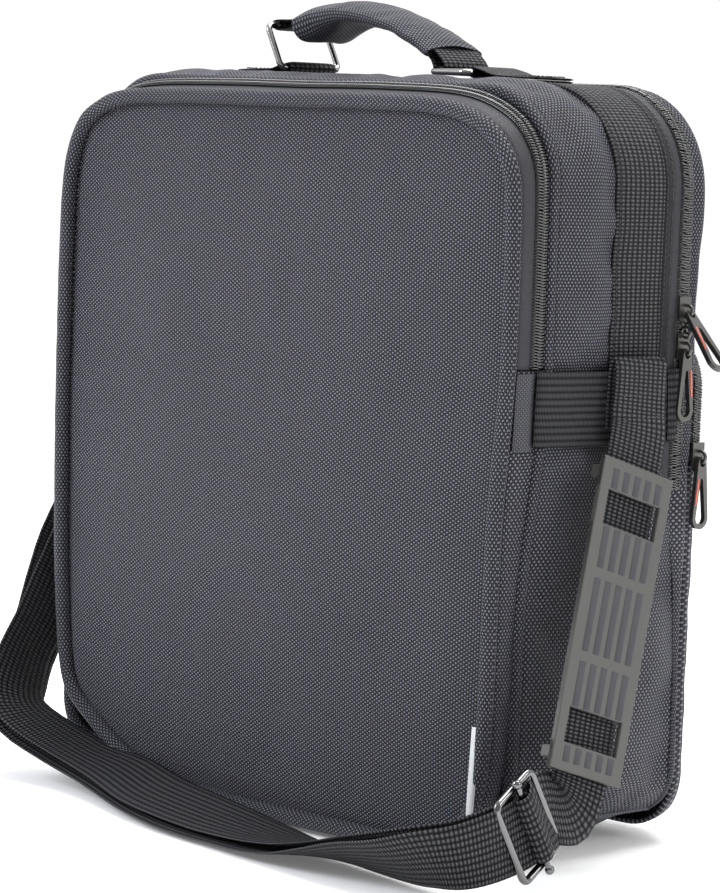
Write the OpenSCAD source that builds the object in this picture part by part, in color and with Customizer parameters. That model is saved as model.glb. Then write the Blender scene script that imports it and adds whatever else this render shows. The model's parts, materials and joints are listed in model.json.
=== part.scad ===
// Soft-sided flight bag with zipped front and back pockets, a wire-ring
// handle and a webbing shoulder strap. X runs across the bag, the front
// faces -Y and Z is up. The origin is under the middle of the bottom.

/* [Bag] */
// Width of the bag across its front
bag_w = 353; // [290:1:430]
// Height of the front panel's top edge
front_h = 387; // [330:1:470]
// Height of the main body's top above the front panel's
main_rise = 7.5; // [4:0.5:14]
// Depth of the front pocket, from its panel to the main body's front wall
front_depth = 27.6; // [24:0.1:50]
// Depth of the main compartment in front of its zip
main_depth = 89.4; // [76:0.1:140]
// Depth of the rear shell behind the zip
rear_depth = 14; // [10:0.5:40]
// How far the back pocket stands out of the rear shell
pocket_depth = 36; // [20:1:60]
// Height of the back pocket's top edge
pocket_h = 270; // [240:1:300]
// Radius of the bag's upper corners
corner_r = 50; // [30:1:70]
// Radius of the front pocket's lower corners
lower_r = 40; // [20:1:50]
// How far the body's lower edges are lifted off the floor
edge_lift = 13; // [6:1:20]

/* [Fabric] */
// Thickness of a padded fabric wall
wall = 2.5; // [2:0.1:4]
// Thickness of the webbing
web_t = 1.5; // [1:0.1:2.2]
// Width of the webbing
web_w = 38; // [30:1:44]
// Radius of the front panel's corded edge
cord_r = 4; // [3:0.1:4.5]
// Radius of the rolled edge on the main body
roll_r = 3.5; // [3:0.1:3.6]
// Thickness of the foam sheets
foam_t = 3; // [2:0.5:5]
// Thickness of the bottom's stiffener board
board_t = 2.5; // [1.5:0.5:4]

/* [Zips] */
// Width of the closed coil
coil_w = 9.4; // [7:0.1:11]
// How far the coil stands out of the tape
coil_proud = 1; // [0.6:0.1:1.6]
// Width of the tape beside the coil
tape_w = 6; // [4:0.5:9]
// Length of a slider
slider_l = 15; // [12:0.5:17]
// Width of a slider
slider_w = 9; // [8:0.5:12]
// Length of a pull
pull_l = 38; // [30:1:42]
// Width of a pull
pull_w = 12; // [10:0.5:15]
// Angle that the upper main pull rests at, out from the side
pull_rest = 40; // [0:5:60]
// Angle that the front pull rests at, where it lies on the cross band
front_pull_rest = 15; // [12:1:25]

/* [Handle] */
// Distance between the two rings' fixed bars
ring_span = 143; // [120:1:160]
// Radius of the ring wire
wire_r = 1.75; // [1.5:0.05:2]
// Width of a ring along the bag's depth, between bar centres
ring_w = 44; // [40:1:54]
// Length of a ring, between bar centres
ring_l = 26; // [22:1:30]
// Lean of the left ring from upright, outwards
ring_lean = 28; // [20:1:35]
// Thickness of the grip's padded sleeve
grip_t = 9; // [7:0.5:12]
// Width of the grip's sleeve
grip_w = 42; // [38:1:50]

/* [Shoulder strap] */
// Length of the rubber pad
pad_l = 160; // [140:1:180]
// Width of the rubber pad
pad_w = 50; // [47:1:60]
// Thickness of the rubber pad
pad_t = 3.2; // [2.5:0.1:4]
// Length of the adjuster's frame along the strap
adjuster_l = 32; // [28:1:36]
// Radius of the adjuster's wire
adjuster_r = 2; // [1.8:0.1:2.3]

/* [Hidden] */
$fn = 48;

fabric = "#34363d";
fabric_dark = "#2b2c31";
webbing = "#232428";
tape = "#1b1b1e";
metal = "#8b8a86";
gunmetal = "#57575a";
rubber = "#47494b";
foam = "#77787a";

gap = 0.4;
hw = bag_w / 2;
main_h = front_h + main_rise;
yf = -88;
y_wall = yf + front_depth;
y_zip = y_wall + main_depth + coil_w / 2 - 0.1;
y_rear = y_zip + rear_depth;
y_back = y_rear + pocket_depth;

// Heights: the cross band, the hinge lines and the zips' lower ends
band_z0 = 214;
band_z1 = band_z0 + web_w;
front_hinge_z = band_z1 + 1;
main_zip_z = 188;
lid_hinge_z = pocket_h + 4;
flap_hinge_z = 204;

// Depths of the layers along the side
y_front_coil = yf + 15.3;
y_flange = yf + 20.2;
y_band = yf + 85;
y_binding = y_band + web_w / 2;
y_tape = y_wall + main_depth - tape_w;
y_pocket_coil = y_rear + 3;

y_cord = yf - 2;
in_tape = 2;
in_panel = 2 * cord_r;
in_web = 8;
loop_in = wire_r + 1.2;
ring_z = main_h + 2 * web_t + loop_in;
grip_rise = ring_l * cos(ring_lean);

// ---------------------------------------------------------------- helpers

// A slab between two depths, drawn from an outline in the XZ plane
module slab(y0, y1) {
    translate([0, y1, 0]) rotate([90, 0, 0]) linear_extrude(y1 - y0) children();
}

// Rounded rectangle with its own radii at the top and the bottom
module rounded(half_w, z0, z1, top_r, bottom_r) {
    for (s = [-1, 1]) {
        translate([s * (half_w - top_r), z1 - top_r]) circle(top_r);
        translate([s * (half_w - bottom_r), z0 + bottom_r]) circle(bottom_r);
    }
    translate([-half_w, z0 + bottom_r]) square([2 * half_w, z1 - top_r - z0 - bottom_r]);
    translate([-half_w + top_r, z1 - top_r - 1]) square([2 * (half_w - top_r), top_r + 1]);
    translate([-half_w + bottom_r, z0]) square([2 * (half_w - bottom_r), bottom_r + 1]);
}

module main_outline(inset = 0) {
    rounded(hw - inset, edge_lift + 1 + inset, main_h - inset, corner_r - inset, 14 - inset / 2);
}

module front_outline(inset = 0) {
    rounded(hw - inset, 0.5 + inset, front_h - inset, corner_r - inset, lower_r - inset);
}

module pocket_outline(inset = 0) {
    rounded(hw - 2 - inset, 4 + inset, pocket_h - inset, 30 - inset, 30 - inset);
}

module above(z) {
    intersection() {
        children();
        translate([-2 * hw, z]) square([4 * hw, 2 * main_h]);
    }
}

module below(z) {
    intersection() {
        children();
        translate([-2 * hw, z - 2 * main_h]) square([4 * hw, 2 * main_h]);
    }
}

module main_ring(outer, inner) {
    difference() {
        main_outline(outer);
        main_outline(inner);
    }
}

module front_ring(outer, inner) {
    difference() {
        front_outline(outer);
        front_outline(inner);
    }
}

module pocket_ring(outer, inner) {
    difference() {
        pocket_outline(outer);
        pocket_outline(inner);
    }
}

// A rod between two points
module rod(a, b, r) {
    d = b - a;
    translate(a) rotate([0, acos(d[2] / norm(d)), atan2(d[1], d[0])]) cylinder(h = norm(d), r = r);
}

// A cord along an outline's edge, from z_low up one side, over the top and down the other
module edge_cord_upper(half_w, top, top_r, y, r, z_low) {
    for (s = [-1, 1]) {
        translate([s * half_w, y, z_low]) cylinder(h = top - top_r - z_low, r = r);
        translate([s * (half_w - top_r), y, top - top_r]) rotate([90, 0, 0])
            rotate([0, 0, s > 0 ? 0 : 90]) rotate_extrude(angle = 90) translate([top_r, 0]) circle(r);
    }
    translate([-half_w + top_r, y, top]) rotate([0, 90, 0]) cylinder(h = 2 * (half_w - top_r), r = r);
}

module edge_cord_lower(half_w, bottom, bottom_r, y, r, z_high) {
    for (s = [-1, 1]) {
        translate([s * half_w, y, bottom + bottom_r])
            cylinder(h = z_high - bottom - bottom_r, r = r);
        translate([s * (half_w - bottom_r), y, bottom + bottom_r]) rotate([90, 0, 0])
            rotate([0, 0, s > 0 ? -90 : 180]) rotate_extrude(angle = 90)
                translate([bottom_r, 0]) circle(r);
    }
    translate([-half_w + bottom_r, y, bottom]) rotate([0, 90, 0])
        cylinder(h = 2 * (half_w - bottom_r), r = r);
}

// Points of a smooth curve through rows of numbers
function blend4(a, b, c, d, t) =
    0.5 * (2 * b + (c - a) * t + (2 * a - 5 * b + 4 * c - d) * t * t + (3 * b - a - 3 * c + d) * t * t * t);
function smooth(rows, n) = let (last = len(rows) - 1) concat(
    [for (i = [0 : last - 1], k = [0 : n - 1])
        blend4(i > 0 ? rows[i - 1] : 2 * rows[0] - rows[1], rows[i], rows[i + 1],
               i + 2 <= last ? rows[i + 2] : 2 * rows[last] - rows[last - 1], k / n)],
    [rows[last]]);
function place(row) = [row[0], row[1], row[2]];
function unit(v) = v / norm(v);
function across(rows, i) =
    let (p = place(rows[min(i + 1, len(rows) - 1)]) - place(rows[max(i - 1, 0)]),
         d = unit(p), w = [rows[i][3], rows[i][4], rows[i][5]])
    unit(w - (w * d) * d);
function facing(rows, i) =
    let (p = place(rows[min(i + 1, len(rows) - 1)]) - place(rows[max(i - 1, 0)]))
    unit(cross(unit(p), across(rows, i)));

// A flat strip swept along rows of [x, y, z, and the direction of its width]
module ribbon(rows, width, thick, steps = 3) {
    c = smooth(rows, steps);
    n = len(c);
    points = [for (i = [0 : n - 1], q = [[-1, -1], [1, -1], [1, 1], [-1, 1]])
        place(c[i]) + across(c, i) * q[0] * width / 2 + facing(c, i) * q[1] * thick / 2];
    walls = [for (i = [0 : n - 2], k = [0 : 3])
        [4 * i + k, 4 * i + (k + 1) % 4, 4 * i + 4 + (k + 1) % 4, 4 * i + 4 + k]];
    split = [for (w = walls) each [[w[0], w[2], w[1]], [w[0], w[3], w[2]]]];
    ends = [[0, 1, 2], [0, 2, 3], [4 * n - 4, 4 * n - 2, 4 * n - 3], [4 * n - 4, 4 * n - 1, 4 * n - 2]];
    polyhedron(points, concat(split, ends), convexity = 8);
}

// A rectangular wire loop in the XY plane, with its first bar along Y at the origin
module wire_loop(length, width, r) {
    bend = 2 * r;
    for (x = [0, length]) {
        translate([x, -width / 2 + bend, 0]) rotate([-90, 0, 0])
            cylinder(h = width - 2 * bend, r = r);
    }
    for (s = [-1, 1]) {
        translate([bend, s * width / 2, 0]) rotate([0, 90, 0])
            cylinder(h = length - 2 * bend, r = r);
        translate([bend, s * (width / 2 - bend), 0])
            rotate([0, 0, s > 0 ? 90 : 180]) rotate_extrude(angle = 90)
                translate([bend, 0]) circle(r);
        translate([length - bend, s * (width / 2 - bend), 0])
            rotate([0, 0, s > 0 ? 0 : -90]) rotate_extrude(angle = 90)
                translate([bend, 0]) circle(r);
    }
}

// ------------------------------------------------------- bottom and walls

module pan_profile(half, rise, lift) {
    polygon([[-half, edge_lift + 1 + lift], [-half, edge_lift + lift], [-half + rise, lift],
             [half - rise, lift], [half, edge_lift + lift], [half, edge_lift + 1 + lift]]);
}

module pan(lift) {
    y_mid = (y_wall + y_rear) / 2;
    half_y = (y_rear - y_wall) / 2;
    intersection() {
        slab(y_wall, y_rear) pan_profile(hw - 1, 32, lift);
        translate([-hw, y_mid, 0]) rotate([90, 0, 90]) linear_extrude(2 * hw)
            pan_profile(half_y, 22, lift);
    }
}

module bottom_panel() {
    color(fabric_dark) difference() {
        pan(0);
        pan(wall);
    }
}

module bottom_board() {
    color(foam) translate([-hw + 40, y_wall + 26, wall])
        cube([2 * hw - 80, y_rear - y_wall - 52, board_t]);
}

module dividing_wall() {
    color(fabric) slab(y_wall, y_wall + wall) main_outline(0);
}

module dividing_foam() {
    color(foam) slab(y_wall + wall, y_wall + wall + foam_t) main_outline(wall + gap);
}

module main_gusset() {
    color(fabric) difference() {
        union() {
            slab(y_wall + wall, y_tape) main_ring(0, wall);
            slab(y_tape - 0.01, y_rear - wall) below(main_zip_z) main_ring(0, wall);
            slab(y_tape - 0.01, y_zip - coil_w / 2) above(main_zip_z) main_ring(0.6, wall);
        }
        translate([-hw + 34, y_wall + wall + 10, 0])
            cube([2 * hw - 68, y_rear - y_wall - 2 * wall - 20, 3 * edge_lift]);
    }
}

module main_piping() {
    y = y_wall - roll_r - 0.05;
    color(fabric) {
        edge_cord_upper(hw - roll_r, main_h - roll_r, corner_r - roll_r, y, roll_r, lower_r);
        edge_cord_lower(hw - roll_r, edge_lift + roll_r, lower_r - edge_lift - roll_r, y, roll_r,
                        lower_r + 0.01);
    }
}

// ------------------------------------------------------------ outer bands

module top_band() {
    color(webbing) slab(y_band - web_w / 2, y_band + web_w / 2)
        above(band_z0 + 2) main_ring(-web_t, 0);
}

module cross_band(side) {
    y0 = yf + 13.3;
    y1 = y_zip - coil_w / 2;
    color(webbing) translate([side > 0 ? hw + web_t : -hw - 2 * web_t, y0, band_z0])
        cube([web_t, y1 - y0, web_w]);
}

module cross_band_right() {
    cross_band(1);
}

module cross_band_left() {
    cross_band(-1);
}

module binding_strip() {
    color(fabric_dark) slab(y_binding + 0.2, y_tape) above(band_z1 + gap) main_ring(-1, 0);
}

// --------------------------------------------------------------- main zip

module main_chain_front() {
    color(tape) slab(y_zip - coil_w / 2, y_zip - 0.1) above(main_zip_z + gap)
        main_ring(-coil_proud, wall);
}

module main_chain_rear_lower() {
    color(tape) slab(y_zip + 0.1, y_zip + coil_w / 2)
        above(main_zip_z + gap) below(lid_hinge_z) main_ring(-coil_proud, wall);
}

module main_chain_lid() {
    color(tape) slab(y_zip + 0.1, y_zip + coil_w / 2) above(lid_hinge_z + gap)
        main_ring(-coil_proud, wall);
}

// -------------------------------------------------------------- rear shell

module rear_wall() {
    color(fabric) {
        slab(y_rear - wall, y_rear) below(lid_hinge_z) main_outline(0);
        slab(y_zip + coil_w / 2, y_rear - wall + 0.01)
            above(main_zip_z + gap) below(lid_hinge_z) main_ring(0, wall);
    }
}

module lid_panel() {
    color(fabric) {
        slab(y_rear - wall, y_rear) above(lid_hinge_z + gap) main_outline(0);
        slab(y_zip + coil_w / 2, y_rear - wall + 0.01) above(lid_hinge_z + gap) main_ring(0, wall);
    }
}

module lid_foam() {
    color(foam) slab(y_rear - wall - foam_t, y_rear - wall)
        above(lid_hinge_z + wall) main_outline(wall + gap);
}

// ------------------------------------------------------------ front pocket

module front_web() {
    color(fabric_dark) {
        slab(y_flange, y_wall) front_ring(in_web, in_web + wall);
        slab(y_flange - 1.6, y_flange + 0.01) front_ring(in_tape + wall, in_web + wall);
    }
}

module front_gusset() {
    color(fabric) {
        slab(yf + wall, y_flange) below(front_hinge_z - gap) front_ring(in_tape, in_tape + wall);
        slab(yf + wall, yf + wall + 1.5) below(front_hinge_z - gap) front_ring(in_tape, in_panel + 2);
    }
}

module front_panel_lower() {
    color(fabric) slab(yf, yf + wall) below(front_hinge_z - gap) front_outline(in_panel);
}

module front_piping_lower() {
    color(fabric) edge_cord_lower(hw - cord_r, 0.5 + cord_r, lower_r - cord_r, y_cord, cord_r,
                                  front_hinge_z - gap);
}

module zip_tab(side) {
    color(fabric_dark) translate([side > 0 ? hw - in_tape : -hw + in_tape - 1.2, yf + 3.2, band_z0])
        cube([1.2, 9.8, front_hinge_z - gap - band_z0]);
}

module zip_tab_right() {
    zip_tab(1);
}

module zip_tab_left() {
    zip_tab(-1);
}

module front_chain_body() {
    color(tape) slab(y_front_coil + 0.1, y_flange) above(front_hinge_z)
        front_ring(in_tape - coil_proud, in_tape + wall);
}

module seam_label() {
    color("#b9bbbd") translate([hw - in_panel - 5, yf - 1, lower_r])
        cube([5, 1, 34]);
}

module front_panel_upper() {
    color(fabric) slab(yf, yf + wall) above(front_hinge_z) front_outline(in_panel);
}

module front_foam() {
    color(foam) slab(yf + wall, yf + wall + foam_t) above(front_hinge_z + wall)
        front_outline(in_panel + 2 + gap);
}

module front_piping_upper() {
    color(fabric) edge_cord_upper(hw - cord_r, front_h - cord_r, corner_r - cord_r, y_cord, cord_r,
                                  front_hinge_z);
}

module front_tape() {
    color(tape) {
        slab(yf + wall, y_front_coil - coil_w / 2) above(front_hinge_z)
            front_ring(in_tape, in_tape + wall);
        slab(yf + wall, yf + wall + 1.5) above(front_hinge_z) front_ring(in_tape, in_panel + 2);
    }
}

module front_chain_flap() {
    color(tape) slab(y_front_coil - coil_w / 2, y_front_coil - 0.1) above(front_hinge_z)
        front_ring(in_tape - coil_proud, in_tape + wall);
}

// ------------------------------------------------------------- back pocket

// The pocket bulges: its cross sections taper towards its edges
module pocket_bulge(inset) {
    y0 = y_pocket_coil + coil_w / 2;
    side = hw - 2 - inset;
    y1 = y_back - inset;
    intersection() {
        linear_extrude(2 * pocket_h)
            polygon([[-side, y0], [-side, y0 + 2], [-side + 28, y1], [side - 28, y1],
                     [side, y0 + 2], [side, y0]]);
        translate([-hw, 0, 0]) rotate([90, 0, 90]) linear_extrude(2 * hw)
            polygon([[y0, 4 + inset], [y0 + 2, 4 + inset], [y1, 24 + inset],
                     [y1, pocket_h - inset - 26], [y0 + 2, pocket_h - inset],
                     [y0, pocket_h - inset]]);
        slab(y_rear, y_back + 1) pocket_outline(inset);
    }
}

module pocket_shell() {
    y0 = y_pocket_coil + coil_w / 2;
    difference() {
        union() {
            pocket_bulge(0);
            slab(y_pocket_coil, y0 + 0.01) pocket_ring(0, wall);
        }
        pocket_bulge(wall);
        translate([0, y0 - 0.02, 0]) slab(0, 0.1) pocket_outline(wall);
    }
}

module back_pocket() {
    color(fabric) {
        intersection() {
            pocket_shell();
            translate([-hw, y_rear, 0]) cube([2 * hw, y_back, flap_hinge_z - gap]);
        }
        slab(y_rear, y_pocket_coil + 0.01) below(flap_hinge_z - gap) pocket_ring(0, wall);
    }
}

module back_chain_body() {
    color(tape) slab(y_rear, y_pocket_coil - 0.1) above(flap_hinge_z)
        pocket_ring(-coil_proud, wall);
}

module back_flap() {
    color(fabric) intersection() {
        pocket_shell();
        translate([-hw, y_pocket_coil + coil_w / 2, flap_hinge_z]) cube([2 * hw, y_back, pocket_h]);
    }
}

module back_chain_flap() {
    color(tape) slab(y_pocket_coil + 0.1, y_pocket_coil + coil_w / 2) above(flap_hinge_z)
        pocket_ring(-coil_proud, wall);
}

// -------------------------------------------------------- sliders and pulls

bail_r = 3;
bail_wire = 0.9;
bail_x = 3.6;
eye_hole = 2;
eye_rim = 1.2;
pull_t = 2.6;
plate_t = 1.8;

// Slider on a right-hand side, its top plate facing +X. The pull swings about the middle of its
// half-round bail. A slider with a padlock loop has it at its upper or lower end.
module slider(loop_side = 0) {
    color(gunmetal) {
        difference() {
            translate([0, -slider_w / 2, -slider_l / 2]) cube([plate_t, slider_w, slider_l]);
            for (s = [-1, 1]) {
                translate([-1, s * (slider_w / 2 + 1.5), -slider_l / 2 - 1]) rotate([0, 90, 0])
                    cylinder(h = plate_t + 2, r = 4);
            }
        }
        translate([bail_x, 0, 0]) rotate([90, 0, 0]) rotate([0, 0, -90])
            rotate_extrude(angle = 180) translate([bail_r, 0]) circle(bail_wire);
        for (s = [-1, 1]) {
            translate([plate_t / 2, 0, s * bail_r]) rotate([0, 90, 0])
                cylinder(h = bail_x - plate_t / 2, r = bail_wire);
        }
        if (loop_side != 0) {
            translate([plate_t + 2.2, -loop_side * 1.1, loop_side * (slider_l / 2 + 1.2)])
                rotate([90, 0, 0]) rotate_extrude() translate([2.8, 0]) circle(0.8);
        }
    }
}

// Outline of a tapered loop: a half circle at each end, joined by straight sides
function taper(y0, r0, y1, r1, n = 12) = concat(
    [for (i = [0 : n]) [r0 * cos(180 * i / n), y0 + r0 * sin(180 * i / n)]],
    [for (i = [0 : n]) [-r1 * cos(180 * i / n), y1 - r1 * sin(180 * i / n)]]);

// Pull hanging from its eye: a tapered loop with a small eye at the top
module pull() {
    loop_r = pull_w / 2;
    rim = 2.4;
    low = -pull_l - bail_r + eye_hole + eye_rim + loop_r;
    color(gunmetal) rotate([0, 90, 0]) rotate([0, 0, 90]) difference() {
        translate([0, 0, -pull_t / 2]) linear_extrude(pull_t)
            polygon(taper(-bail_r, eye_hole + eye_rim, low, loop_r));
        translate([0, -bail_r, -pull_t]) cylinder(h = 2 * pull_t, r = eye_hole);
        translate([0, 0, -pull_t]) linear_extrude(2 * pull_t)
            polygon(taper(-bail_r - 9, 0.9, low, loop_r - rim));
    }
}

module on_side(side, x, y, z) {
    if (side > 0) {
        translate([x, y, z]) children();
    } else {
        translate([-x, y, z]) rotate([0, 0, 180]) children();
    }
}

x_front_chain = hw - in_tape + coil_proud + 0.3;
x_main_chain = hw + coil_proud + 0.3;
x_back_chain = hw + gap;
upper_slider_z = lid_hinge_z + slider_l / 2;
lower_slider_z = upper_slider_z - slider_l - 4.5;
front_slider_z = front_hinge_z + 5 + slider_l / 2;
back_slider_z = flap_hinge_z + 1;

module front_slider() {
    on_side(-1, x_front_chain, y_front_coil, front_slider_z) slider();
}

module front_pull() {
    on_side(-1, x_front_chain + bail_x, y_front_coil, front_slider_z)
        rotate([0, -front_pull_rest, 0]) pull();
}

module main_slider_upper() {
    on_side(1, x_main_chain, y_zip, upper_slider_z) slider(-1);
}

module main_pull_upper() {
    on_side(1, x_main_chain + bail_x, y_zip, upper_slider_z)
        rotate([0, -pull_rest, 0]) pull();
}

module main_slider_lower() {
    on_side(1, x_main_chain, y_zip, lower_slider_z) slider(1);
}

module main_pull_lower() {
    on_side(1, x_main_chain + bail_x, y_zip, lower_slider_z) pull();
}

module back_slider() {
    on_side(1, x_back_chain, y_pocket_coil, back_slider_z) slider();
}

module back_pull() {
    on_side(1, x_back_chain + bail_x, y_pocket_coil, back_slider_z) pull();
}

// ------------------------------------------------------------------ handle

ring_x = ring_span / 2;

module handle_anchors() {
    color(webbing) for (s = [-1, 1]) {
        translate([s * ring_x, y_band, ring_z]) rotate([90, 0, 0]) difference() {
            union() {
                cylinder(h = web_w - 2, r = loop_in + web_t, center = true);
                translate([s > 0 ? 0 : -36, -loop_in - web_t, -web_w / 2 + 1])
                    cube([36, 2 * web_t, web_w - 2]);
            }
            cylinder(h = web_w, r = loop_in, center = true);
        }
    }
}

module ring_left() {
    color(metal) translate([-ring_x, y_band, ring_z]) rotate([0, -90 - ring_lean, 0])
        wire_loop(ring_l, ring_w, wire_r);
}

module ring_right() {
    color(metal) translate([ring_x, y_band, ring_z]) rotate([0, 180, 0])
        wire_loop(ring_l, ring_w, wire_r);
}

grip_left = [-ring_x - ring_l * sin(ring_lean), ring_z + grip_rise];
grip_right = [ring_x - ring_l, ring_z];
// The grip's arch, from the left bar to the right one: share of the way, then height
grip_rows = [[0.10, 5.0], [0.22, 9.5], [0.36, 12.5], [0.50, 14.0], [0.64, 14.0], [0.78, 14.5],
             [0.90, 15.5]];
function grip_point(row) =
    [grip_left[0] + (grip_right[0] - grip_left[0]) * row[0] + row[1] * 0.15 + row[0] * row[0] * 8,
     y_band, grip_left[1] + (grip_right[1] - grip_left[1]) * row[0] + row[1], 0, 1, 0];
grip_curve = [for (row = grip_rows) grip_point(row)];

module handle_webbing() {
    lead = grip_curve[0];
    tail = grip_curve[len(grip_curve) - 1];
    color(webbing) {
        for (bar = [grip_left, grip_right]) {
            translate([bar[0], y_band, bar[1]]) rotate([90, 0, 0]) difference() {
                cylinder(h = web_w - 4, r = loop_in + web_t - gap, center = true);
                cylinder(h = web_w, r = loop_in, center = true);
            }
        }
        ribbon([[grip_left[0] + 2.5, y_band, grip_left[1] + loop_in, 0, 1, 0], lead], web_w - 4, web_t, 1);
        ribbon([tail, [grip_right[0] + 2, y_band, grip_right[1] + loop_in + 0.4, 0, 1, 0]],
               web_w - 4, web_t, 1);
    }
}

module grip_sleeve() {
    color(fabric_dark) ribbon(grip_curve, grip_w, grip_t, 4);
}

// ---------------------------------------------------------- shoulder strap

y_loop = y_band - 4;
low_web = 2 * web_t;

// The pad's frame: its top centre, the way it runs and the way it faces
pad_top = [hw + 16.2, y_loop - 9.6, 203];
pad_dir = unit([18, -51.3, -154]);
pad_out = [1, -0.1, 0];
pad_across = cross(pad_dir, unit(pad_out - (pad_out * pad_dir) * pad_dir));
function under_pad(l) = concat(pad_top + l * pad_dir, pad_across);

// The strap's route, chosen by hand: place, then the direction of its width. It runs straight
// under the pad.
single_rows = [
    [hw + 6.2, y_loop - 1, band_z1 - 1, 0, -1, 0],
    [hw + 10.5, y_loop - 2, 234, 0, -1, 0.1],
    for (share = [-0.09, 0.2, 0.49, 0.78, 1.07]) under_pad(share * pad_l),
    [hw + 38.5, yf - 5, 40, -0.03, -0.74, 0.67],
    [hw + 42.5, yf - 20, 36, 0.03, -0.5, 0.86]
];
outer_rows = [
    [hw + 43.5, yf - 29, 30.5, 0.03, -0.48, 0.87],
    [hw + 43.5, yf - 47, 26, 0.1, -0.36, 0.93],
    [hw + 36, yf - 63, 21.5, 0.06, -0.5, 0.87],
    [hw + 22, yf - 72, 18.5, -0.05, -0.62, 0.78],
    [hw + 3, yf - 74, 14.5, -0.11, -0.74, 0.66],
    [hw - 26, yf - 72, 11, -0.14, -0.86, 0.5],
    [hw - 52, yf - 69, 7.5, -0.13, -0.95, 0.28],
    [90, yf - 65, 3.4, -0.11, -0.99, 0.05],
    [46, yf - 60, 2, -0.12, -0.98, 0],
    [4, yf - 55, 2, -0.16, -0.97, 0],
    [-38, yf - 44.5, 3.6, -0.2, -0.97, 0],
    [-87, yf - 29, 7.5, -0.25, -0.96, 0],
    [-hw + 48, yf - 24, 15, -0.24, -0.96, -0.04],
    [-hw + 6, yf - 29, 31, 0.1, -0.98, -0.08],
    [-hw - 13, yf - 13, 53, 0.12, -0.98, -0.08],
    [-hw - 19, yf + 5, 82, 0, -0.98, 0.1],
    [-hw - 23, yf + 25, 124, 0, -0.95, 0.3],
    [-hw - 17, yf + 50, 174, 0, -0.93, 0.35],
    [-hw - 11.7, yf + 73, 216, 0, -0.98, 0.15]
];
inner_rows = [
    [hw + 40.5, yf - 30, 31.5, 0.03, -0.48, 0.87],
    [hw + 39.5, yf - 46, 27.5, 0.1, -0.36, 0.93],
    [hw + 32.5, yf - 59, 23.5, 0.06, -0.5, 0.87],
    [hw + 20, yf - 67, 21, -0.05, -0.62, 0.78],
    [hw + 1, yf - 69, 18, -0.11, -0.74, 0.66],
    [hw - 26, yf - 67.5, 13.5, -0.14, -0.86, 0.5],
    [hw - 52, yf - 65, 10.5, -0.13, -0.95, 0.28],
    [90, yf - 61, 8, -0.11, -0.99, 0.05],
    [46, yf - 57, 7, -0.12, -0.98, 0],
    [4, yf - 52, 7, -0.16, -0.97, 0],
    [-38, yf - 45, 8, -0.2, -0.97, 0],
    [-85, yf - 27, 12.5, -0.25, -0.96, 0],
    [-hw + 50, yf - 23, 20.5, -0.2, -0.97, -0.04],
    [-hw + 8, yf - 29, 38, 0.1, -0.98, -0.08],
    [-hw - 11, yf - 15, 61, 0.12, -0.98, -0.08],
    [-hw - 12, yf + 6, 90, 0, -0.98, 0.1],
    [-hw - 13, yf + 27, 128, 0, -0.95, 0.3],
    [-hw - 10, yf + 52, 177, 0, -0.93, 0.35],
    [-hw - 5.1, yf + 74, 216, 0, -0.98, 0.15]
];

module strap_single() {
    color(webbing) ribbon(single_rows, web_w, web_t);
}

module strap_outer() {
    color(webbing) ribbon(outer_rows, web_w, web_t, 2);
}

module strap_inner() {
    color(webbing) ribbon(inner_rows, web_w, web_t, 2);
}

module strap_anchor_right() {
    x = hw + 2 * web_t;
    color(webbing) translate([0, y_loop, 0]) rotate([90, 0, 0])
        linear_extrude(web_w, center = true)
            polygon([[x + 0.1, band_z0 + 14], [x + 0.1, band_z1 + 4], [x + 2, band_z1 + 6],
                     [x + 4.4, band_z1 + 4.4], [x + 5, band_z1 - 0.5], [x + 3.2, band_z1 - 1],
                     [x + 2.2, band_z1 + 3], [x + web_t + 0.1, band_z1 + 2],
                     [x + web_t + 0.1, band_z0 + 14]]);
}

strap_ring_z = 230;
strap_ring_x = -hw - 2 * web_t - web_t - wire_r - 0.9;

module strap_anchor_left() {
    color(webbing) translate([strap_ring_x, y_loop, strap_ring_z]) rotate([90, 0, 0])
        linear_extrude(web_w - 2, center = true) difference() {
            union() {
                circle(wire_r + 0.4 + web_t);
                translate([0.5, 0]) square([wire_r + 0.4 + web_t - 0.6, 20]);
            }
            circle(wire_r + 0.4);
        }
}

module strap_ring() {
    color(metal) translate([strap_ring_x, y_loop, strap_ring_z]) rotate([0, 95, 0])
        wire_loop(13, ring_w, wire_r);
}

// Places children at a point, with their Z along one direction and their X facing near another
module aimed(at, along, face) {
    x = unit(face - (face * along) * along);
    y = cross(along, x);
    multmatrix([[x[0], y[0], along[0], at[0]], [x[1], y[1], along[1], at[1]],
                [x[2], y[2], along[2], at[2]], [0, 0, 0, 1]]) children();
}

window_l = 18;
window_w = web_w - 2;

module shoulder_pad() {
    stand = web_t / 2 + 1.2;
    color(rubber) aimed(pad_top, pad_dir, pad_out) {
        difference() {
            translate([stand, -pad_w / 2, 0]) cube([pad_t, pad_w, pad_l]);
            for (z = [0.1 * pad_l, 0.9 * pad_l - window_l]) {
                translate([stand - 1, -window_w / 2, z]) cube([pad_t + 2, window_w, window_l]);
            }
        }
        for (z = [0.03 * pad_l, 0.93 * pad_l]) {
            translate([-stand - 1.8, -pad_w / 2, z]) cube([1.8, pad_w, 6]);
            for (s = [-1, 1]) {
                translate([-stand - 1.8, s > 0 ? pad_w / 2 - 2.6 : -pad_w / 2, z])
                    cube([2 * stand + 1.9, 2.6, 6]);
            }
        }
    }
}

adjuster_at = [hw + 43, yf - 24.5, 33.5];
adjuster_w = web_w + 8;

adjuster_dir = unit([0.117, -0.858, -0.5]);
adjuster_out = [0.99, 0.1, 0.06];

module adjuster_frame() {
    color(gunmetal) aimed(adjuster_at, adjuster_dir, adjuster_out) rotate([0, -90, 0])
        translate([-adjuster_l / 2, 0, 0]) wire_loop(adjuster_l, adjuster_w, adjuster_r);
}

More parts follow.
